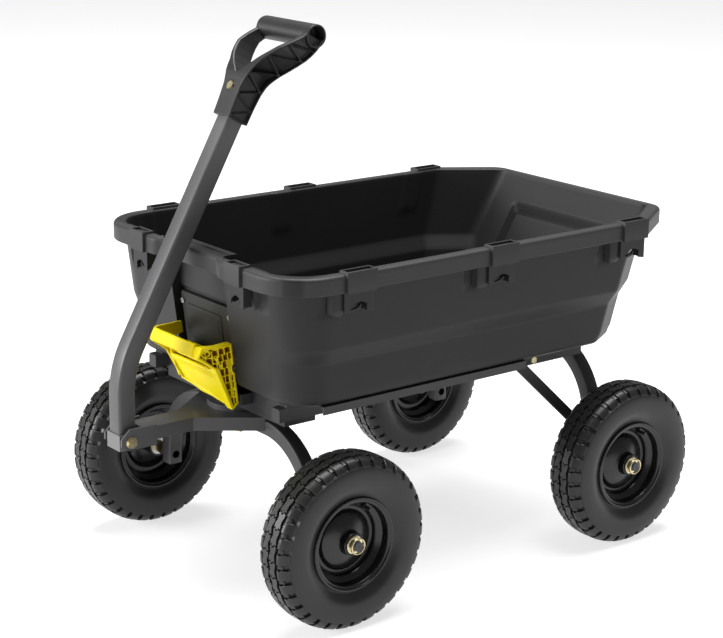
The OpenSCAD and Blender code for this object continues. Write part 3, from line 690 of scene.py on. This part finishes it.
def smooth_line(points, n=4):
    """n points per span of a smooth curve through the given ones."""
    out = []
    for i in range(len(points) - 1):
        p = [points[max(0, i - 1)], points[i], points[i + 1], points[min(len(points) - 1, i + 2)]]
        for k in range(n):
            t = k / n
            out.append(tuple(0.5 * (2 * p[1][c] + (p[2][c] - p[0][c]) * t
                                    + (2 * p[0][c] - 5 * p[1][c] + 4 * p[2][c] - p[3][c]) * t * t
                                    + (3 * p[1][c] - p[0][c] - 3 * p[2][c] + p[3][c]) * t ** 3)
                             for c in (0, 1)))
    return out + [points[-1]]


def lengths_along(line):
    """Length from a line's start to each of its points."""
    out = [0.0]
    for p, q in zip(line, line[1:]):
        out.append(out[-1] + math.dist(p, q))
    return out


SKIN_LINE = smooth_line(SKIN)
SKIN_S = lengths_along(SKIN_LINE)


def skin_at(s, sink=0.0):
    """Offset and radius at a length s from the crown, sunk below the skin."""
    s, sign = abs(s), (1 if s >= 0 else -1)
    i = max(1, next((k for k, v in enumerate(SKIN_S) if v >= s), len(SKIN_S) - 1))
    a, b = SKIN_LINE[i - 1], SKIN_LINE[i]
    t = (s - SKIN_S[i - 1]) / (SKIN_S[i] - SKIN_S[i - 1])
    d = Vector((b[0] - a[0], b[1] - a[1])).normalized()
    return sign * (lerp(a[0], b[0], t) + d.y * sink), lerp(a[1], b[1], t) - d.x * sink


def wheel_place(s, y):
    """Local radius, angle and offset (outward) to space, for a wheel on side s."""
    def place(r, a, h):
        return s * (TRACK + h), y + r * math.cos(a), HUB_Z + r * math.sin(a)
    return place


def spin_wheel(profile, place, n=96):
    return spin(profile, lambda u, v, h: place(math.hypot(u, v), math.atan2(v, u), h), n)


# one lug of the middle rows: share of a pitch round the tyre, length from the crown
LUG = ((0.06, 1.3), (0.30, 4.2), (0.50, 4.2), (0.70, 1.3), (0.97, 1.3), (0.90, 5.5), (1.07, 8.0),
       (1.03, 11.5), (0.93, 14.0), (0.98, 18.6), (0.74, 16.4), (0.52, 16.4), (0.30, 18.6), (0.06, 18.6),
       (0.01, 14.0), (0.11, 11.5), (0.15, 8.0), (-0.02, 5.5))
# one lug over the shoulder: length from the crown, sideways shift, extra sink of its ends
SHOULDER = ((21.6, 0.05, 0.9), (24, 0.0, 0), (27.5, 0.07, 0), (31.5, 0.03, 0), (36, -0.02, 0),
            (40.5, 0.0, 0), (44.5, 0.0, 0), (48, 0.0, 0), (50.4, 0.0, 0.9))
ROW_SHIFT, SHOULDER_SHIFT, ROOT = 0.45, 0.25, GROOVE + 1.5


def tread_parts(place):
    """Lugs: two rows of interlocking blocks, a row over each shoulder, and bridges between these."""
    parts = []
    pitch = 2 * math.pi / TREAD_N
    for k in range(TREAD_N):
        for q, start in ((1, k), (-1, k + ROW_SHIFT)):
            def at(u, s, sink):
                h, r = skin_at(s, sink)
                return place(r, (start + u * q) * pitch, q * h)

            parts.append(loft([[at(lerp(u, 0.5, shrink), lerp(s, 10, shrink), sink) for u, s in LUG]
                               for sink, shrink in ((ROOT, 0), (0.8, 0), (0.0, 0.03))]))
            start += SHOULDER_SHIFT
            rows = []
            for s, wave, top in SHOULDER:
                lo, hi = 0.16 + wave, 0.84 + wave * 0.6
                rows.append([at(u, s, sink) for u, sink in (
                    (lo, ROOT), (lo, 0.7 + top), (lo + 0.03, top), ((lo + hi) / 2, top),
                    (hi - 0.03, top), (hi, 0.7 + top), (hi, ROOT))])
            parts.append(loft(rows))
            # thin bridge between two shoulder lugs, half as high
            parts.append(loft([[at(u, s, sink) for u, sink in (
                (-0.10, ROOT), (-0.10, 2.2), (0.10, 2.2), (0.10, ROOT))] for s in (23, 27, 31, 35)]))
    return parts


def build_tyre(name, s, y, body):
    place = wheel_place(s, y)
    half = [skin_at(length, GROOVE * (1 - ease((length - 46) / 4))) for length in steps(0, 50, 22)]
    half += [skin_at(length) for length in steps(52, SKIN_S[-1], 30)]
    half += [(31.5, 86.5), (31.2, 83), (30.8, 80.4), (26, 80.2), (22, 84), (24, 96), (32, 110), (34, 130),
             (28, 148), (12, 155)]
    profile = [(r, h) for h, r in half] + [(r, -h) for h, r in half[:0:-1]]
    make(name + "_tyre_detail", *join_parts([spin_wheel(profile, place, 136)] + tread_parts(place)),
         "tyre_rubber", body, replaces=(name + "_tyre",), angle=38)


RIM_FACE = [(89.2, 31.6), (89.9, 33.4), (89.6, 35.4), (88.2, 36.8), (86.2, 37.2), (84.4, 36.4),
            (83.3, 35.0), (81.6, 34.2), (79.8, 33.6), (78.6, 32.2), (78.0, 29.5), (77.6, 25),
            (77.0, 20), (75.4, 16.6), (72, 14.2), (68.4, 12.2), (66.2, 9.6), (65.2, 6), (65, 3)]
RIM_SEAT = [(88.4, -31.2), (80.4, -31.4), (80.1, -21), (67.4, -12), (67.4, 12), (80.1, 21), (80.4, 31.4),
            (88.4, 31.2)]
HUB_FACE = [(65.4, 4.6), (64.2, 2.6), (62, 1.4), (59, 0.9), (56.6, 1.6), (55.0, 3.6), (53.9, 6.2),
            (52.4, 8.0), (49, 9.9), (43, 12.4), (36, 14.8), (29, 16.9), (25.4, 17.9), (23.2, 18.7),
            (22.2, 20.2), (21.9, 23), (21.8, 31), (21.3, 33.0), (20.2, 33.9), (18.9, 33.6),
            (18.0, 32.2), (17.7, 30)]
HUB_BACK = [(17.7, -34), (21.4, -34), (21.4, 14.4), (34, 12.6), (45, 9), (51, 6), (54, 0), (57, -1),
            (65.4, -0.6)]


def build_rim(name, s, y, body):
    rim = smooth_line(RIM_FACE, 3)
    rim += [(r, -h) for r, h in rim[::-1]] + RIM_SEAT
    for part, profile in (("_rim", rim), ("_hub", smooth_line(HUB_FACE, 3) + HUB_BACK)):
        make(name + part + "_detail", *spin_wheel(profile, wheel_place(s, y), 128), "rim_black", body,
             replaces=(name + part,), angle=50)


WHEELS = {"front_left": (1, FRONT_Y), "front_right": (-1, FRONT_Y),
          "rear_left": (1, REAR_Y), "rear_right": (-1, REAR_Y)}
for wheel, (side, wheel_y) in WHEELS.items():
    build_tyre(wheel, side, wheel_y, wheel + "_wheel")
    build_rim(wheel, side, wheel_y, wheel + "_wheel")


# --- handle
LEAN, BEND_R, TUBE_Y, BEND_Z, TUBE_BOTTOM = 29.0, 190.0, -557.0, 400.0, 301.0
TUBE_W, TUBE_D, GRIP_BASE = 38.0, 36.0, 449.0
LEAN_COS, LEAN_SIN = polar(1, LEAN)


def on_handle(x, y, along):
    """A point in the axes of the handle's straight upper part."""
    return (x, TUBE_Y + BEND_R * (1 - LEAN_COS) + y * LEAN_COS + along * LEAN_SIN,
            BEND_Z + BEND_R * LEAN_SIN - y * LEAN_SIN + along * LEAN_COS)


def tube_path():
    """Origin and axes of the tube's section: upright, round the bend, then along the lean."""
    x_axis = (1, 0, 0)
    path = [((0, TUBE_Y, z), x_axis, (0, 1, 0)) for z in (TUBE_BOTTOM, 330, 365)]
    for a in steps(0, LEAN, 16):
        c, s = polar(1, a)
        path.append(((0, TUBE_Y + BEND_R * (1 - c), BEND_Z + BEND_R * s), x_axis, (0, c, -s)))
    return path + [(on_handle(0, 0, s), x_axis, (0, LEAN_COS, -LEAN_SIN)) for s in (60, 200, 340, 480)]


make("handle_tube_detail", *sweep(tube_path(), rounded_rect(TUBE_W, TUBE_D, 5.5, 5)), "handle_coat",
     "handle", replaces=("handle_tube",))

# levels of the grip: along the tube, front y, rear y, outer x, inner x
GRIP_LEVELS = [(0, -24, 22, 27, 0), (30, -26, 22.5, 27, 0), (60, -28.5, 23.5, 28.5, 0),
               (76, -29.8, 24, 33, 0), (84, -30, 25, 36.5, 3), (94, -29.6, 28.5, 40.5, 14),
               (105, -28.6, 33, 46, 27), (120, -26, 40, 56, 41), (136, -19, 47, 66.5, 53),
               (150, -11.5, 52.5, 75, 61), (164, 0, 57, 80, 66.5), (176, 10, 60.5, 82, 69),
               (186, 19, 63, 82, 69.5), (200, 27, 65, 82, 69.5)]
GRIP_BAR = (46.0, 198.0, 22.0)  # y and height of the bar's axis, and its radius


def grip_point(x, y, h):
    return on_handle(x, y, GRIP_BASE + h)


def level_at(h):
    for a, b in zip(GRIP_LEVELS, GRIP_LEVELS[1:]):
        if h <= b[0]:
            t = (h - a[0]) / (b[0] - a[0])
            return [lerp(p, q, t) for p, q in zip(a, b)]
    return GRIP_LEVELS[-1]


def arm_corners(lv):
    """The left arm's corners: shallower than the right arm above the fork."""
    t = ease((lv[0] - 84) / 32)
    front, rear = lv[1] + 5 * t, lv[2] - 16 * t + 9 * ease((lv[0] - 166) / 20)
    inner = -lv[4] + 0.5 - 4 * t * (1 - ease((lv[0] - 150) / 30))
    return [(-lv[3], front, 5.4), (inner, front, 2.5), (inner, rear, 2.5), (-lv[3], rear, 5.4)]


def box_corners(x0, x1, y0, y1, r):
    return [(x0, y0, r), (x1, y0, r), (x1, y1, r), (x0, y1, r)]


def build_grip():
    parts = []

    def column(levels, corners):
        parts.append(loft([[grip_point(x, y, lv[0]) for x, y in rounded_polygon(corners(lv), 5)]
                           for lv in levels]))

    collar = [lv for lv in GRIP_LEVELS if lv[0] <= 84]
    arm = [level_at(h) for h in (60, 72, 84, 94, 105, 120, 136, 150, 164, 176, 186, 197)]
    # left half: collar and a broad rounded arm
    column(collar, lambda lv: [(-lv[3], lv[1], 5), (20, lv[1], 2), (20, lv[2], 2), (-lv[3], lv[2], 5)])
    column(arm, arm_corners)
    # right half: a web with front and rear flanges, open outward
    full = collar[:-1] + arm[2:]
    column(full, lambda lv: box_corners(max(lv[4], 17) - 0.5, lv[3], lv[1], lv[1] + 4.6, 1.2))
    column(full, lambda lv: box_corners(max(lv[4], 17) - 0.5, lv[3], lv[2] - 3.6, lv[2], 1.2))
    column(arm, lambda lv: box_corners(lv[4] - 0.5, max(lv[4] + 3.4, 20), lv[1] + 1, lv[2] - 1, 1))
    # ribs in the open side: a zigzag between the flanges
    zigzag = [(6, 0), (26, 1), (46, 0), (66, 1), (88, 0), (108, 1), (128, 0), (146, 1), (162, 0), (172, 1)]
    for (h0, e0), (h1, e1) in zip(zigzag, zigzag[1:]):
        rows = []
        for t in steps(0, 1, 4):
            h = lerp(h0, h1, t)
            lv = level_at(h)
            y = lerp(lv[1] + 3, lv[2] - 3, lerp(e0, e1, t))
            rows.append([grip_point(x, y + v, h + v) for x, v in (
                (lv[4] + 1, -1.1), (lv[3] - 3, -1.1), (lv[3] - 3, 1.1), (lv[4] + 1, 1.1))])
        parts.append(loft(rows))
    # floor of the open side
    parts.append(loft([[grip_point(x, y, lv[0]) for x, y in (
        (18, lv[1] + 2), (lv[3] - 1, lv[1] + 2), (lv[3] - 1, lv[2] - 2), (18, lv[2] - 2))]
        for lv in (level_at(0), level_at(3))]))
    # bar: solid along most of its length, with an open end on the +X side
    y0, h0, r = GRIP_BAR
    profile = [(0.5, -82), (r - 4, -82), (r - 1, -80.5), (r, -77.5), (r, 80), (r - 0.6, 82), (r - 3.0, 82),
               (r - 3.6, 80), (r - 3.6, 52), (0.5, 50)]
    parts.append(spin(profile, lambda u, v, x: grip_point(x, y0 + u, h0 + v), 64))
    moulded("grip_detail", parts, "grip_plastic", "handle", ("grip",), 1.15, 3)


build_grip()


def build_grip_bolts():
    """Dished bolt head on the front of the collar, and the small ridge above the head."""
    at = 56.0
    front = level_at(at)[1]
    head = [(0.3, front - 2.2), (2.6, front - 2.2), (3.2, front - 2.9), (6.2, front - 3.3),
            (7.6, front - 2.4), (8.0, front - 0.8), (8.0, front + 1), (0.3, front + 1)]
    make("grip_bolt_head", *spin(head, lambda u, v, y: grip_point(u, y, at + v), 40), "yellow_zinc",
         "handle")
    rows = []
    for k in steps(-50, 50, 10):
        v, u = polar(12, k)
        h = at - 1 + v
        y = level_at(h)[1]
        rows.append([grip_point(u, y + 1.5, h - 1.2), grip_point(u, y - 1.3, h - 0.5),
                     grip_point(u, y - 1.3, h + 0.5), grip_point(u, y + 1.5, h + 1.2)])
    make("grip_ridge", *loft(rows), "grip_plastic", "handle")


build_grip_bolts()


# --- release lever
PANEL_TILT = math.degrees(math.atan((LOW[1] - HIGH[1]) / (HIGH_Z - FLOOR_Z)))
TILT_COS, TILT_SIN = polar(1, PANEL_TILT)


def front_panel(x, y, z):
    """A point in the axes of the slanted front panel: y inward, z up along it."""
    return x, LOW[1] + y * TILT_COS - z * TILT_SIN, FLOOR_Z + y * TILT_SIN + z * TILT_COS


def oval(cy, cz, ry, rz):
    return [(cy + ry * u, cz + rz * v) for u, v in (polar(1, a) for a in range(0, 360, 20))]


CHEEK_EDGES = (60, 65, 66, 82)  # x of the web's two faces, of the rim's inner and outer faces
CELL_WALL, CELL_EDGE = 1.9, (64, 80.5)  # honeycomb walls: thickness, and where they lie in x
LEFT_X = -82  # outer face of the finger loop


def cheek_span(z):
    """Front and rear of the right cheek at a height."""
    if z < -18:
        return lerp(-13, -18, (z + 37) / 19), -1
    return lerp(-16, -33, (z + 18) / 64) if z < 46 else lerp(-37, -63, (z - 46) / 30), -1


def spread_panel(x, y, z):
    """A point of the lever: its right side spreads a little toward the tub."""
    return front_panel(x + 8 * ease((x - 30) / 40) * ease((y + 66) / 44), y, z)


def build_lever():
    parts = []

    def skin(sections):
        parts.append(loft([[spread_panel(*p) for p in section] for section in sections]))

    def slab(outline, x0, x1):
        """A side profile in (y, z) between two x values."""
        skin([[(x, y, z) for y, z in outline] for x in (x0, x1)])

    def ribbon(points, thick, x0, x1, close=False):
        """A wall of even thickness along a side line."""
        for (a, b), (c, d) in zip(points, points[1:] + points[:1] if close else points[1:]):
            u = Vector((c - a, d - b)).normalized()
            n = Vector((-u.y, u.x)) * (thick / 2)
            a2, b2, c2, d2 = a - u.x * 0.8, b - u.y * 0.8, c + u.x * 0.8, d + u.y * 0.8
            slab([(a2 + n.x, b2 + n.y), (c2 + n.x, d2 + n.y), (c2 - n.x, d2 - n.y),
                  (a2 - n.x, b2 - n.y)], x0, x1)

    web_in, web_out, rim_in, rim_out = CHEEK_EDGES
    side = [(0, 84), (-28, 86), (-58, 91), (-67, 76), (-37, 46), (-20, -18), (-14, -40), (-1, -31),
            (-1, 20), (0, 56)]
    # front band with its finger loop, and the loop's left end wall
    slab([(-61, 96), (-56, 96), (-59.5, 78), (-61, 71), (-66, 71), (-69.5, 76)], LEFT_X, 60)
    slab([(-66, 74), (-60, 95), (-52, 97), (2, 91), (2, 68), (-34, 66), (-60, 68)], LEFT_X, -77)
    # ledge that turns in under the band, then the bright front panel below it
    skin([[(left, y, z), (79, y, z), (79, y + 4, z + 1), (left, y + 4, z + 1)] for y, z, left in (
        (-62, 72, -80), (-36, 66, -78), (-29, 50, -76), (-30, 42, -74.5), (-38, 40.5, -74),
        (-37.5, 36, -73), (-31, 22, -67), (-25, 0, -60), (-19, -20, -44), (-15.5, -31, -6))])
    # raised rim down the left edge
    skin([[(left, y, z), (left + 4.5, y, z), (left + 4.5, y + 10, z + 1), (left, y + 10, z + 1)]
          for y, z, left in ((-69, 73, LEFT_X), (-56, 60, -79), (-43, 47, -75), (-36, 22, -69),
                             (-31, 4, -63), (-27, -10, -57))])
    # rim along the slanted bottom edge, the left cheek and a back wall
    skin([[(x, y, z), (x, y + 9, z + 1), (x, y + 9, z + 5), (x, y, z + 4)]
          for x, y, z in ((-58, -27, -12), (-10, -22, -21), (40, -18, -31), (80, -14.5, -39))])
    slab([(-40, 50), (-28, -8), (-12, -14), (-8, 20), (-2, 56), (-30, 60)], -66, -62)
    slab([(-11, 58), (-11, 20), (-9, -20), (-5, -20), (-6, 20), (-1, 52), (-1, 58)], -58, 80)
    # right cheek: proud rim, deep web and honeycomb cells
    ribbon(side, 4.2, rim_in, rim_out, close=True)
    slab(side, web_in, web_out)
    slab([(-39, 46), (-21, -18), (-15, -39), (-10, -38), (-14.5, -18), (-31, 46)], 64, rim_out)
    slab([(-60, 88), (-67, 76), (-62, 72), (-54, 86)], 56, 74)
    for row, z in enumerate((-24, -9, 6, 21, 36, 50, 63, 75)):
        y0, y1 = cheek_span(z)
        ribbon([(y0, z + 7.0), (y1, z + 7.0)], CELL_WALL, *CELL_EDGE)
        n = 1 + (z > 18) + (z > 40) + (z > 60)
        for k in range(n):
            y = lerp(y0, y1, (k + (0.75 if row % 2 else 1.1)) / (n + 0.85))
            ribbon([(y, z - 7), (y, z + 7)], CELL_WALL, *CELL_EDGE)
    # bosses round the pin, and an oval one where the band meets the cheek
    slab(oval(2, 37, 8, 8), web_in, rim_out)
    slab(oval(2, 37, 8, 8), -66, -60)
    ribbon(oval(-52, 80, 7.5, 6), 2.2, rim_in, rim_out, close=True)
    moulded("lever_detail", parts, "lever_yellow", "lever", ("release_lever",), 1.0, 2)


build_lever()


# sheets of the latch plate: x and z of the middle, width, height, corner, rear and front depth, taper
LATCH_SHEETS = ((0, 75, 2 * PLATE_W - 2, 149, 6, 14.8, 12, 0.6), (-8, 82, 112, 92, 4, 12.4, 10.4, 0.9),
                (-8, 82, 96, 76, 3, 10.6, 9.8, 0.8))
EAR_X, EAR_Z, SHEET = (86.2, 91), (29, 45), (12, 14.8)


def build_latch_plate():
    """Plate behind the lever: folded ears on the pin, and a raised blank panel."""
    parts = []
    for cx, cz, w, h, r, rear, front, taper in LATCH_SHEETS:
        back = [(cx + x, cz + z) for x, z in rounded_rect(w, h, r)]
        face = [(x - math.copysign(taper, x - cx), z - math.copysign(taper, z - cz)) for x, z in back]
        parts.append(loft([[front_panel(x, front, z) for x, z in face],
                           [front_panel(x, rear, z) for x, z in back]]))
    ear = [(29, 12.4), (45, 12.4), (45, 0), (42, -4), (32, -4), (29, 0)]
    fold = [(x, y) for x, y in zip((78, 91, 91, 78), (SHEET[0], SHEET[0], SHEET[1], SHEET[1]))]
    for s in (-1, 1):
        parts.append(loft([[front_panel(s * x, y, z) for z, y in ear] for x in EAR_X]))
        parts.append(loft([[front_panel(s * x, y, z) for x, y in fold] for z in EAR_Z]))
    make("latch_plate_detail", *join_parts(parts), "plate_black", "tub", replaces=("latch_plate",),
         angle=35)


build_latch_plate()


# --- arches
ARCH_TUBE, ARCH_BEND_R, ARCH_HALF_W = 30.0, 155.0, 258.0
LEG_BOTTOM = HUB_Z - 18
LEG_PLUG = ((27.5, -1.6, 1.0), (24.0, -2.2, -1.4))  # width, bottom and top of its two steps


def build_arch(name, y, top_z, body):
    mid_r, mid_w = ARCH_BEND_R - ARCH_TUBE / 2, ARCH_HALF_W - ARCH_TUBE / 2
    top, straight, bend_z = top_z - ARCH_TUBE / 2, ARCH_HALF_W - ARCH_BEND_R, top_z - ARCH_BEND_R
    path = []
    for s in (-1, 1):
        half = [((s * x, y, top), (0, 1, 0), (0, 0, 1)) for x in (2, straight * 0.5, straight)]
        for k in range(1, 19):
            c, v = polar(1, 5 * k)
            half.append(((s * (straight + mid_r * v), y, bend_z + mid_r * c), (0, 1, 0), (s * v, 0, c)))
        half += [((s * mid_w, y, z), (0, 1, 0), (s, 0, 0)) for z in (bend_z - 12, LEG_BOTTOM)]
        path = half[::-1] if s < 0 else path + half
    make(name + "_detail", *sweep(path, rounded_rect(ARCH_TUBE, ARCH_TUBE, 4.5)), "frame_coat", body,
         replaces=(name,))
    # moulded plugs in the open ends of the legs
    parts = [prism(rounded_rect(w, w, 4), LEG_BOTTOM + lo, LEG_BOTTOM + hi,
                   lambda u, v, z, s=s: (s * mid_w + u, y + v, z))
             for s in (-1, 1) for w, lo, hi in LEG_PLUG]
    make(name + "_plugs", *join_parts(parts), "black_rubber", body)


build_arch("rear_arch", REAR_Y, 392.0, "frame")
build_arch("front_arch", FRONT_Y, 332.0, "steering")


# --- axle ends and rail plugs
RING_R, WIRE_R, RING_AT, RING_RISE = 14.6, 1.35, 43.0, 3.6  # split ring: two turns of wire
PIN_R, PIN_AT = 1.5, 44.2
WASHER = ((8.4, 34.4), (16.2, 34.4), (17, 35), (17, 36), (16.2, 36.6), (13, 36.7), (10.5, 36.4),
          (8.4, 36.4))
AXLE_CAP = ((0.3, 48.6), (2.2, 48.6), (2.6, 49.0), (8.0, 49.0), (9.4, 47.8), (9.4, 36), (0.3, 36))


def build_axle_ends(axle, y, body):
    """Coiled cotter ring, its pin, a washer and a turned axle end outside each wheel."""
    rings, ends = [], []
    for s in (-1, 1):
        place = wheel_place(s, y)
        rows = []
        for k in range(61):
            rows.append([place(RING_R + u, math.radians(200 + 12 * k), RING_AT + RING_RISE * k / 60 + v)
                         for u, v in (polar(WIRE_R, 45 * q) for q in range(8))])
        rings.append(loft(rows))
        rings.append(loft([[place(math.hypot(x, u), math.atan2(u, x), PIN_AT + v)
                            for u, v in (polar(PIN_R, 45 * q) for q in range(8))]
                           for x in (-15, -9, 9, 15)]))
        rings.append(spin_wheel(WASHER, place, 48))
        ends.append(spin_wheel(AXLE_CAP, place, 40))
    make(axle + "_rings_detail", *join_parts(rings), "yellow_zinc", body,
         replaces=(axle + "_cotter_rings", axle + "_washers"), angle=50)
    make(axle + "_axle_ends", *join_parts(ends), "frame_coat", body)


build_axle_ends("front", FRONT_Y, "steering")
build_axle_ends("rear", REAR_Y, "frame")


RAIL_X, RAIL_Z, RAIL_END = 208.5, 380.5, FRONT_Y - 62
RAIL_PLUG = ((24.4, -1.8, 0.2), (19.4, -0.2, 7.0))  # width, front and rear of its two steps


def build_rail_plugs():
    """Moulded plugs that close the rails' open front ends."""
    parts = [prism(rounded_rect(w, w, 3, 3), RAIL_END + lo, RAIL_END + hi,
                   lambda u, v, y, s=s: (s * RAIL_X + u, y, RAIL_Z + v))
             for s in (-1, 1) for w, lo, hi in RAIL_PLUG]
    make("rail_plugs", *join_parts(parts), "black_rubber", "frame")


build_rail_plugs()


# --- floor, light and camera
FLOOR_HALF, FLOOR_CELLS, FLOOR_GLOW, SKY_GLOW = 40.0, 40, 0.70, 0.22


def build_floor():
    """Wide pale floor whose glow lets it pass into a plain background."""
    n = FLOOR_CELLS
    line = steps(-FLOOR_HALF, FLOOR_HALF, n)
    corners = [i * (n + 1) + j for i in range(n) for j in range(n)]
    mesh = mesh_of("floor", [(x, y, 0) for x in line for y in line],
                   [(a, a + n + 1, a + n + 2, a + 1) for a in corners], 1)
    mat, tree, shader = new_material("floor")
    tint = ramp(tree, noise_at(tree, object_coords(tree), 1.5), *GRAINS, (0.40, 0.402, 0.405),
                (0.42, 0.422, 0.425))
    for key, value in (("Base Color", tint), ("Roughness", 0.6), ("Specular IOR Level", 0.2),
                       ("Emission Color", (1, 1, 1)), ("Emission Strength", FLOOR_GLOW)):
        feed(tree, shader.inputs[key], value)
    mesh.materials.append(mat)
    add_object("floor", mesh)


def area_light(name, place, target, size, watts):
    data = bpy.data.lights.new(name, "AREA")
    data.shape, data.size, data.size_y, data.energy = "RECTANGLE", size[0], size[1], watts
    obj = add_object(name, data)
    obj.location = place
    obj.rotation_euler = (Vector(target) - Vector(place)).to_track_quat("-Z", "Y").to_euler()


def build_world():
    world = bpy.data.worlds.new("studio")
    world.use_nodes = True
    sky = world.node_tree.nodes["Background"]
    sky.inputs["Color"].default_value, sky.inputs["Strength"].default_value = (1, 1, 1, 1), SKY_GLOW
    bpy.context.scene.world = world
    bpy.context.scene.view_settings.view_transform = "Standard"


def build_camera():
    """The photo's view: from the front right, a little above."""
    place, azimuth, elevation, roll = (2.9162, -2.2906, 1.5027), 51.9, 15.8, -0.7
    az, el, r = (math.radians(v) for v in (azimuth, elevation, roll))
    back = Vector((math.sin(az) * math.cos(el), -math.cos(az) * math.cos(el), math.sin(el)))
    right = Vector((math.cos(az), math.sin(az), 0))
    up = back.cross(right)
    right, up = right * math.cos(r) - up * math.sin(r), right * math.sin(r) + up * math.cos(r)
    data = bpy.data.cameras.new("camera")
    data.lens, data.sensor_width = 96.59, 36
    obj = add_object("camera", data)
    turn = Matrix((right, up, back)).transposed().to_4x4()
    obj.matrix_world = Matrix.Translation(place) @ turn
    bpy.context.scene.camera = obj


build_floor()
build_world()
area_light("front_box", (-3.6, -6.8, 2.4), (0, 0, 0.45), (4.6, 3.0), 640)
area_light("top_box", (-0.4, 0.6, 6.5), (0, 0, 0.3), (5.0, 5.0), 900)
build_camera()
